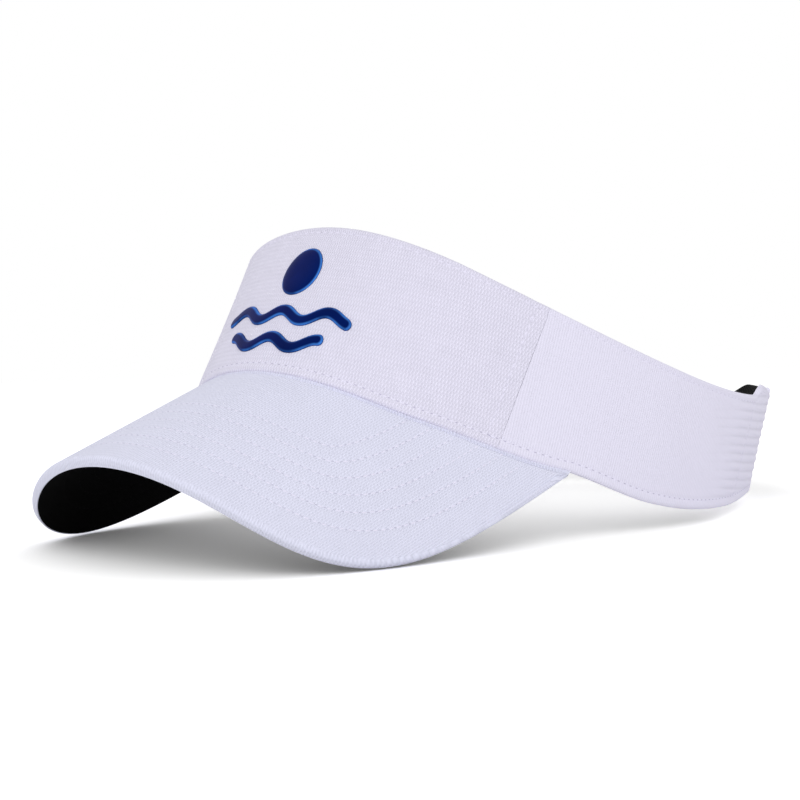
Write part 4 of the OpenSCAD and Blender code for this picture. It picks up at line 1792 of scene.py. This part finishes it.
        lines = []
        for side, node in ((1.0, "left_seam_tape"), (-1.0, "right_seam_tape")):
            t = side * middle + np.linspace(half, -half, 25)
            low = self.above_binding(t)
            top = self.below_hem(t)
            self.facing(node + "_cloth", node, t, low, top, depth, self.tape_thick, HEM_CLOTH, 16)
            for share in (-self.tape_stitch, self.tape_stitch):
                angle = np.full(60, side * middle + half * share)
                z = np.linspace(low[12] + 1.0, top[12] - 1.0, 60)
                lines.append(self.inside_line(angle, z, self.tape_stitch_depth))
        self.sewing.sew("seam_tape", lines, WHITE_THREAD, Body.CROWN)

    def binding(self) -> None:
        """Dark binding along the lower seam."""
        t = np.linspace(-self.lining_angle, self.lining_angle, 220)
        inside = np.full(15, self.binding_inside)
        height = self.binding_height - self.tuck
        section = self.section(height, self.binding_depth, inside, self.binding_corner)
        self.strip("seam_binding_cloth", "bill_seam_binding", t, self.tucked, lambda _: section, UNDER_CLOTH)

    def padding(self) -> None:
        """Foam behind the forehead."""
        t = np.linspace(-self.padding_angle, self.padding_angle, 120)
        inside = np.full(19, self.padding_depth + self.padding_thick)
        section = self.section(self.padding_height, self.padding_depth, inside, self.padding_corner)
        piece = self.strip(
            "sweatband_foam", "sweatband_padding", t, self.above_binding, lambda _: section, FOAM
        )

    def puff(self, t: float, share: Array) -> Array:
        """Swell of the sweatband over its foam, mm."""
        ends = float(smooth(np.array((self.lining_angle - abs(t)) / 6.0)))
        front = 0.35 + 0.65 * float(smooth(np.array((self.padding_angle + 8.0 - abs(t)) / 16.0)))
        rise = (share * self.band_height - 3.0) / (self.band_height - 5.5)
        crest = np.sin(math.pi * np.clip(rise, 0.0, 1.0))
        ripple = 0.10 * math.sin(t * 0.55) + 0.06 * math.sin(t * 1.31 + 1.0)
        return ends * np.sqrt(crest) * (self.band_puff * front + ripple)

    def sweatband(self) -> None:
        """Padded band that lies on the head, sewn along its lower and upper edge."""
        t = np.linspace(-self.lining_angle, self.lining_angle, 420)
        share = np.linspace(0.0, 1.0, 41)

        def section(angle: float) -> Pair:
            """The band's section at an angle, swollen between its two lines of stitching."""
            inside = self.band_depth + self.band_thick + self.puff(angle, share)
            return self.section(self.band_height - self.tuck, self.band_depth, inside, self.band_corner)

        piece = self.strip("sweatband_cloth", "sweatband", t, self.tucked, section, BAND_CLOTH)
        angles = np.linspace(-self.lining_angle + 1.0, self.lining_angle - 1.0, 500)
        depth = self.band_depth + self.band_thick + self.band_stitch_lift
        low = self.form.hem(angles)
        rises = (self.band_stitch_rise, self.band_height - self.band_stitch_fall)
        lines = [self.inside_line(angles, low + rise, depth) for rise in rises]
        self.sewing.sew("sweatband", lines, BLACK_THREAD, Body.CROWN)


@dataclass
class Strap:
    """The closure: a webbing strap with a hook patch, in a cloth pocket, and a tongue with a loop patch."""

    form: CrownForm
    stance: Stance
    sewing: Sewing
    thick: float = 1.4
    patch_thick: float = 0.95
    patch_margin: float = 1.5
    tongue_thick: float = 1.2
    tongue_end: float = 20.0
    tongue_hold: float = 9.0
    tongue_step: float = 7.0
    travel: float = 8.0
    pocket_grip: float = 6.0
    pocket_length: float = 12.0
    pocket_drop: float = 1.8
    pocket_wall: float = 1.0
    end_inset: float = 1.0
    tail_clearance: float = 1.3
    slide_gap: float = 0.3
    glue_gap: float = 0.05
    lining_depth: float = 1.35
    strap_rise: float = 3.9
    strap_sag: float = 2.2
    rise_start: float = 23.0
    rise_angle: float = 11.0
    fold_angles: tuple[float, float] = (28.5, 20.0)
    strap_corner: float = 5.0
    hook_corner: float = 2.0
    loop_corner: float = 1.0
    patch_drop: float = 0.4
    edge_radius: float = 0.45
    pocket_heel: float = 0.8
    tail_stitch: float = 2.7
    tongue_stitch: float = 2.5
    rows: int = 20

    @property
    def jog_start(self) -> float:
        """Angle at which the tongue starts to step inwards."""
        return -self.stance.end_turn - 2.0 * self.end_inset

    @property
    def jog_end(self) -> float:
        """Angle at which the tongue has stepped inwards."""
        return self.jog_start + self.tongue_step

    @property
    def tongue_start(self) -> float:
        """Angle of the tongue's sewn end."""
        return -self.stance.end_turn - self.tongue_hold

    @property
    def tail_end(self) -> float:
        """Angle of the tail's free end."""
        return self.jog_end + self.tail_clearance + self.travel

    @property
    def start(self) -> float:
        """Angle of the strap's end in its pocket."""
        return self.stance.end_turn + self.travel + self.pocket_grip

    @property
    def margin_angle(self) -> float:
        """Margin round a patch, as an angle."""
        return math.degrees(self.patch_margin / self.stance.radius)

    @property
    def hook_depth(self) -> float:
        """Depth of the hook patch."""
        return self.thick + self.glue_gap

    @property
    def loop_depth(self) -> float:
        """Depth of the loop patch."""
        return self.hook_depth + self.patch_thick + self.slide_gap

    @property
    def tongue_depth(self) -> float:
        """Depth of the tongue."""
        return self.loop_depth + self.patch_thick + self.glue_gap

    def band(
        self, name: str, angles: Array, low: float, high: float, outside: float, thick: float,
        corner: float, place: Callable[[Array, Array, Array], Array] | None = None,
        rise: Array | float = 0.0,
    ) -> Piece:
        """A closed band along the cone, with softened edges and rounded corners.

        Args:
            name: The piece's name.
            angles: Angles of its columns, falling.
            low: Its lower edge.
            high: Its upper edge.
            outside: Depth of its outer face, mm.
            thick: Its thickness, mm.
            corner: Radius of the corners at its last end, mm.
            place: Where an angle, height and depth lie, or None for the cone.
            rise: How far its upper edge stands higher, mm.

        Returns:
            The piece.
        """
        put = place or self.stance.cone
        soft = min(self.edge_radius, thick / 2.0 - 0.02)
        up = (1.0 - np.cos(np.linspace(0.0, math.pi, self.rows + 1))) / 2.0
        run = np.radians(angles - angles[-1]) * self.stance.radius
        pull = roll(run, corner)
        low_edge = (low + pull)[:, None]
        high_edge = (high + rise - pull)[:, None]
        z = low_edge + (high_edge - low_edge) * up[None]
        edge = np.minimum(z - low_edge, high_edge - z)
        turn = roll(np.minimum(edge, np.minimum(run, run[0] - run)[:, None]), soft)
        a = columns_of(angles, self.rows + 1)
        front = put(a, z, outside + turn)
        back = put(a, z, outside + thick - turn)
        points = np.concatenate([front, back[:, ::-1], front[:, :1]], 1)
        span = np.concatenate([z, 2.0 * high - z[:, ::-1] + 2.0, z[:, :1] + 60.0], 1)
        lengths = columns_of(np.radians(angles) * self.stance.radius, points.shape[1])
        return close(cloth(name, self.stance.settle(points), UV_MIDDLE - lengths, span + 10.0))

    def build(self) -> None:
        """Builds the strap, its patches, the tongue and the pocket."""
        low = self.stance.strap_low
        high = self.stance.strap_top
        self.strap(low, high)
        self.patches(low, high)
        self.tongue(low, high)
        self.pocket(low, high)
        self.stitch(low, high)

    def strap(self, low: float, high: float) -> None:
        """One length of webbing, from the pocket past the fold to the tail's end."""
        angles = np.concatenate(
            [
                self.start - np.array([0.0, 0.05, 0.15, 0.3, 0.5]),
                np.linspace(self.start - 0.9, self.tail_end + 4.0, 170),
                self.tail_end + 4.0 * (1.0 - np.sin(np.linspace(0.0, QUARTER, 26)))[1:],
            ]
        )
        rise = self.strap_rise * smooth((angles - self.rise_start) / self.rise_angle) - self.strap_sag
        piece = self.band("strap_webbing", angles, low, high, 0.0, self.thick, self.strap_corner, None, rise)
        dress(piece, STRAP_WEBBING, None, ("strap_anchor", "strap_tail"))
        middle = np.full(2, (low + high) / 2.0)
        ends = self.stance.settle(self.stance.cone(np.array(self.fold_angles), middle, self.thick / 2.0))
        tuple(ends[0])
        tuple(ends[1])
        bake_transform(piece)

    def patches(self, low: float, high: float) -> None:
        """The hook patch under the tail and the loop patch on the tongue."""
        margin = self.margin_angle
        loop_end = self.tongue_end - margin
        hook = np.linspace(loop_end - margin, self.tail_end + margin, 120)
        floor = low + self.patch_margin
        top = high - self.strap_sag - self.patch_drop
        thick = self.patch_thick
        piece = self.band("hook_patch_pile", hook, floor, top, self.hook_depth, thick, self.hook_corner)
        dress(piece, HOOK_PILE, Body.TAIL, ("hook_patch",))
        loop = np.linspace(loop_end, self.jog_end + margin, 140)
        piece = self.band("loop_patch_pile", loop, floor, top, self.loop_depth, thick, self.loop_corner)
        dress(piece, LOOP_PILE, Body.CROWN, ("loop_patch",))

    def tongue_place(self, a: Array, z: Array, depth: Array) -> Array:
        """Place of the tongue: along the right panel's inner face, then on the cone."""
        form = self.form
        stance = self.stance
        share = smooth((a - self.jog_start) / self.tongue_step)[..., None]
        t = -180.0 - a * form.gap_half_angle / stance.end_turn
        sunk = self.lining_depth + depth
        y = form.outline(t)[..., 1] + np.cos(np.radians(t)) * sunk
        c = math.cos(math.radians(stance.tilt))
        s = math.sin(math.radians(stance.tilt))
        sewn = stance.turned(form.point(t, (z + y * s) / c, sunk))
        free = stance.cone(a, z, self.tongue_depth + depth)
        return sewn + (free - sewn) * share

    def tongue(self, low: float, high: float) -> None:
        """Webbing tongue, sewn inside the right panel."""
        angles = np.linspace(self.tongue_end, self.tongue_start, 170)
        piece = self.band(
            "loop_tongue_webbing", angles, low, high - self.strap_sag, 0.0, self.tongue_thick,
            self.loop_corner, self.tongue_place,
        )
        dress(piece, STRAP_WEBBING, Body.CROWN, ("loop_tongue",))

    def pocket(self, low: float, high: float) -> None:
        """Cloth facing inside the left panel, under which the strap slides."""
        stance = self.stance
        near = stance.end_turn + self.end_inset
        angles = np.linspace(near + self.pocket_length, near, 40)
        outside = self.thick + self.slide_gap
        inside = outside + self.pocket_wall
        rail_top = low - self.slide_gap
        rail_low = rail_top - self.pocket_wall
        top = high - self.pocket_drop
        shelf = self.slide_gap - stance.strap_room
        turn = np.linspace(0.0, math.pi, 9)
        half = self.pocket_wall / 2.0
        round_off = self.pocket_heel
        crest = [(outside + half - half * math.cos(k), top - half + half * math.sin(k)) for k in turn]
        sweep = [
            (inside - round_off * (1.0 - math.cos(k)), rail_low + round_off * (1.0 - math.sin(k)))
            for k in np.linspace(0.0, QUARTER, 7)
        ]
        nose = [(shelf + half - half * math.sin(k), rail_low + half - half * math.cos(k)) for k in turn]
        wall_out = [(outside, h) for h in np.linspace(rail_top, top - half, 12)[:-1]]
        wall_in = [(inside, h) for h in np.linspace(top - half, rail_low + round_off, 12)[1:-1]]
        floor = [(d, rail_low) for d in np.linspace(inside - round_off, shelf + half, 6)[1:-1]]
        shelf_top = [(d, rail_top) for d in np.linspace(shelf + half, outside, 6)[1:-1]]
        profile = wall_out + crest + wall_in + sweep + floor + nose + shelf_top
        profile = np.array(profile + profile[:1])
        depth, z = (rows_of(values, len(angles)) for values in profile.T)
        a = columns_of(angles, len(profile))
        points = stance.settle(stance.cone(a, z, depth))
        lengths = np.radians(a) * stance.radius + 100.0
        widths = rows_of(reach_along(profile), len(angles))
        piece = close(cloth("strap_pocket_cloth", points, lengths, widths))
        dress(piece, HEM_CLOTH, Body.CROWN, ("left_strap_pocket",))

    def frame_line(
        self, first: float, last: float, low: float, high: float, place: Callable[[Array, Array], Array],
        outward: float,
    ) -> Pair:
        """A closed sewn rectangle on a band.

        Args:
            first: Angle of its first side.
            last: Angle of its last side.
            low: Its lower height.
            high: Its upper height.
            place: Where an angle and a height lie.
            outward: 1 where it faces outwards, -1 where it faces inwards.

        Returns:
            Points and normals.
        """
        corners = [(first, high), (last, high), (last, low), (first, low), (first, high)]
        sides = list(zip(corners[:-1], corners[1:], (120, 40, 120, 40)))
        a, z = (
            np.concatenate([np.linspace(start[k], stop[k], count) for start, stop, count in sides])
            for k in (0, 1)
        )
        points = self.stance.settle(place(a, z))
        out = np.stack([np.sin(np.radians(a)), np.cos(np.radians(a)), -self.stance.flare + 0.0 * a], -1)
        return points, unit(out) * outward

    def stitch(self, low: float, high: float) -> None:
        """Sews the hook patch to the tail and the tongue to the right panel."""
        margin = self.margin_angle
        top = high - self.strap_sag
        tail = self.frame_line(
            self.tongue_end - 3.0 * margin, self.tail_end + 2.2 * margin,
            low + self.tail_stitch, top - self.tail_stitch,
            lambda a, z: self.stance.cone(a, z, 0.0), 1.0,
        )
        self.sewing.sew("tail", [tail], BLACK_THREAD, Body.TAIL)
        sewn = self.frame_line(
            self.tongue_start + 5.6, self.tongue_start + 1.6,
            low + self.tongue_stitch, top - self.tongue_stitch,
            lambda a, z: self.tongue_place(a, z, self.tongue_thick + 0.0 * a), -1.0,
        )
        self.sewing.sew("tongue", [sewn], BLACK_THREAD, Body.CROWN)


@dataclass
class Badge:
    """Raised generic badge on the front panel: a sun over two waves."""

    form: CrownForm
    stance: Stance
    thick: float = 0.95
    sink: float = 0.3
    shoulder: float = 3.4
    sun_radius: float = 9.0
    sun_height: float = 38.0
    wave_stroke: float = 4.2
    wave_swing: float = 1.8
    wave_pitch: float = 20.0
    waves: tuple[tuple[str, float, float], ...] = (
        ("badge_upper_wave", 30.0, 21.5),
        ("badge_lower_wave", 22.0, 11.5),
    )

    def put(self, s: Array, z: Array, lift: Array) -> Array:
        """Place on the front panel at a length from its middle, a height and a lift off the cloth."""
        t = np.degrees(s / self.form.front_radius)
        return self.stance.wall(t, z, -lift)

    def crest(self, share: Array) -> Array:
        """Lift of the badge across its width: a flat top with round shoulders."""
        return self.thick * np.maximum(1.0 - np.abs(share) ** self.shoulder, 0.0) ** 0.5

    def build(self) -> None:
        """Builds the sun and both waves."""
        self.sun()
        for node, half, height in self.waves:
            self.wave(node, half, height)

    def sun(self) -> None:
        """The sun: a low dome with a round shoulder."""
        turn = np.linspace(0.0, TURN, 97)
        share = np.concatenate([np.sin(np.linspace(0.0, QUARTER, 26)), np.linspace(1.0, 0.0, 4)[1:]])
        lift = np.concatenate([self.crest(share[:26]), np.full(3, -self.sink)])
        s = self.sun_radius * np.sin(turn)[:, None] * share[None]
        z = self.sun_height + self.sun_radius * np.cos(turn)[:, None] * share[None]
        points = self.put(s, z, rows_of(lift, len(turn)))
        # Distance from the edge, mm, which places the painted highlight.
        inside = rows_of((1.0 - share) * self.sun_radius, len(turn))
        piece = close(cloth("badge_sun_gloss", points, inside, z))
        dress(piece, BADGE_GLOSS, Body.CROWN, ("badge_sun",))

    def wave(self, node: str, half: float, height: float) -> None:
        """One wave: a round-shouldered stroke with round ends.

        Args:
            node: The CAD node that it replaces.
            half: Half of its length, mm.
            height: Its height above the bill, mm.
        """
        radius = self.wave_stroke / 2.0
        cap = np.linspace(0.0, QUARTER, 14)
        ends = half - radius + radius * np.sin(cap)
        s = np.concatenate([-ends[::-1], np.linspace(-half + radius, half - radius, 100)[1:-1], ends])
        over = np.clip((np.abs(s) - (half - radius)) / radius, 0.0, 1.0)
        width = radius * np.sqrt(1.0 - over * over)
        phase = TURN * s / self.wave_pitch
        slope = -self.wave_swing * TURN / self.wave_pitch * np.sin(phase)
        lean = np.sqrt(1.0 + slope * slope)
        across = np.sin(np.linspace(-QUARTER, QUARTER, 31))
        share = np.concatenate([across, [0.5, 0.0, -0.5], across[:1]])
        mid = height + self.wave_swing * np.cos(phase)
        z = mid[:, None] + (width * lean)[:, None] * share[None]
        reach = np.sqrt((width[:, None] * share[None] / radius) ** 2 + (over**2)[:, None])
        reach = np.minimum(reach, 1.0)
        lift = self.crest(reach)
        lift[:, 31:34] = -self.sink
        spots = columns_of(s, len(share))
        # Distance from the edge, mm, which places the painted highlight.
        inside = (1.0 - reach) * radius
        piece = close(cloth(node + "_gloss", self.put(spots, z, lift), inside, spots))
        dress(piece, BADGE_GLOSS, Body.CROWN, (node,))


@dataclass(frozen=True)
class Studio:
    """Camera at the photograph's angle, a soft lamp, white surroundings and a pale floor."""

    azimuth: float = 42.665
    elevation: float = 4.003
    roll: float = -0.964
    distance: float = 797.851
    slide: float = -10.524
    rise: float = 41.385
    lens: float = 102.835
    sky: float = 0.8
    key_strength: float = 0.95
    key_azimuth: float = 40.0
    key_elevation: float = 28.0
    key_spread: float = 60.0
    floor_gain: float = 1.32
    floor_bounce: float = 0.93
    floor_size: float = 30.0
    floor_drop: float = 0.0004
    floor_near: float = 0.30
    floor_far: float = 0.90

    @staticmethod
    def towards(azimuth: float, elevation: float) -> Array:
        """Direction to a place at an azimuth and an elevation, degrees."""
        az = math.radians(azimuth)
        el = math.radians(elevation)
        return np.array([math.sin(az) * math.cos(el), -math.cos(az) * math.cos(el), math.sin(el)])

    def axes(self) -> tuple[Array, Array, Array]:
        """The camera's right, up and back directions."""
        az = math.radians(self.azimuth)
        turn = math.radians(self.roll)
        back = self.towards(self.azimuth, self.elevation)
        right = np.array([math.cos(az), math.sin(az), 0.0])
        up = np.cross(back, right)
        c = math.cos(turn)
        s = math.sin(turn)
        return right * c + up * s, up * c - right * s, back

    @staticmethod
    def hang(held: bpy.types.ID, spot: Array, axes: Sequence[Array]) -> Piece:
        """Puts a camera or a lamp at a place, metres, with its three axes."""
        holder = bpy.data.objects.new(held.name, held)
        bpy.context.scene.collection.objects.link(holder)
        holder.matrix_world = Matrix.Translation(spot) @ Matrix(axes).transposed().to_4x4()
        return holder

    def build(self) -> None:
        """Builds the camera, the lamp, the surroundings and the floor."""
        right, up, back = self.axes()
        spot = (back * self.distance + right * self.slide + up * self.rise) * MM
        camera = bpy.data.cameras.new("photo_camera")
        camera.lens = self.lens
        camera.sensor_width = 36.0
        camera.clip_start = 0.01
        camera.clip_end = 50.0
        scene = bpy.context.scene
        scene.camera = self.hang(camera, spot, (right, up, back))
        scene.view_settings.view_transform = "Standard"
        self.lamp()
        self.surroundings()
        self.floor()

    def lamp(self) -> None:
        """A broad soft key light from behind the camera."""
        light = bpy.data.lights.new("key_light", "SUN")
        light.energy = self.key_strength
        light.angle = math.radians(self.key_spread)
        aim = self.towards(self.key_azimuth, self.key_elevation)
        side = unit(np.cross(np.array([0.0, 0.0, 1.0]), aim))
        self.hang(light, aim, (side, np.cross(aim, side), aim))

    def surroundings(self) -> None:
        """White to the camera and in reflections, a soft sky otherwise."""
        world = bpy.data.worlds.new("studio")
        bpy.context.scene.world = world
        graph = Graph(world)
        path = graph.node("ShaderNodeLightPath")
        seen = graph.wire(path, "Is Camera Ray").larger(graph.wire(path, "Is Transmission Ray"))
        seen = seen.larger(graph.wire(path, "Is Glossy Ray"))
        soft = graph.node("ShaderNodeBackground", None, {"Color": WHITE, "Strength": self.sky})
        white = graph.node("ShaderNodeBackground", None, {"Color": WHITE})
        graph.output(graph.blend(seen, soft, white), "World")

    def floor(self) -> None:
        """Pale floor that takes the visor's shadow."""
        clear()
        bpy.ops.mesh.primitive_plane_add(size=self.floor_size, location=(0.0, 0.0, -self.floor_drop))
        plane = bpy.context.object
        plane.name = "studio_floor"
        graph = Graph(bpy.data.materials.new("studio_floor"))
        reach = graph.node("ShaderNodeVectorMath", {"operation": "LENGTH"}, {0: graph.place()})
        away = (graph.wire(reach, "Value") - self.floor_near) / (self.floor_far - self.floor_near)
        plain, pale = (
            graph.node("ShaderNodeBsdfDiffuse", None, {"Color": (gain, gain, gain, 1.0)})
            for gain in (self.floor_bounce, self.floor_gain)
        )
        glow = graph.node("ShaderNodeEmission", None, {"Color": WHITE, "Strength": 1.0})
        path = graph.node("ShaderNodeLightPath")
        shown = graph.blend(away.held(), pale, glow)
        mixed = graph.blend(path.outputs["Is Camera Ray"], plain, shown)
        plane.data.materials.append(graph.output(mixed))


def main() -> None:
    """Builds the studio and every sub-assembly of the visor."""
    logging.basicConfig(level=logging.INFO)
    form = CrownForm()
    stance = Stance(form)
    sewing = Sewing()
    LOG.info("stands at %.4f degrees", stance.tilt)
    Studio().build()
    crown = Crown(form, stance, sewing)
    crown.build()
    Bill(form, stance, sewing).build()
    Lining(form, stance, crown, sewing).build()
    Strap(form, stance, sewing).build()
    Badge(form, stance).build()


if __name__ == "__main__":
    main()
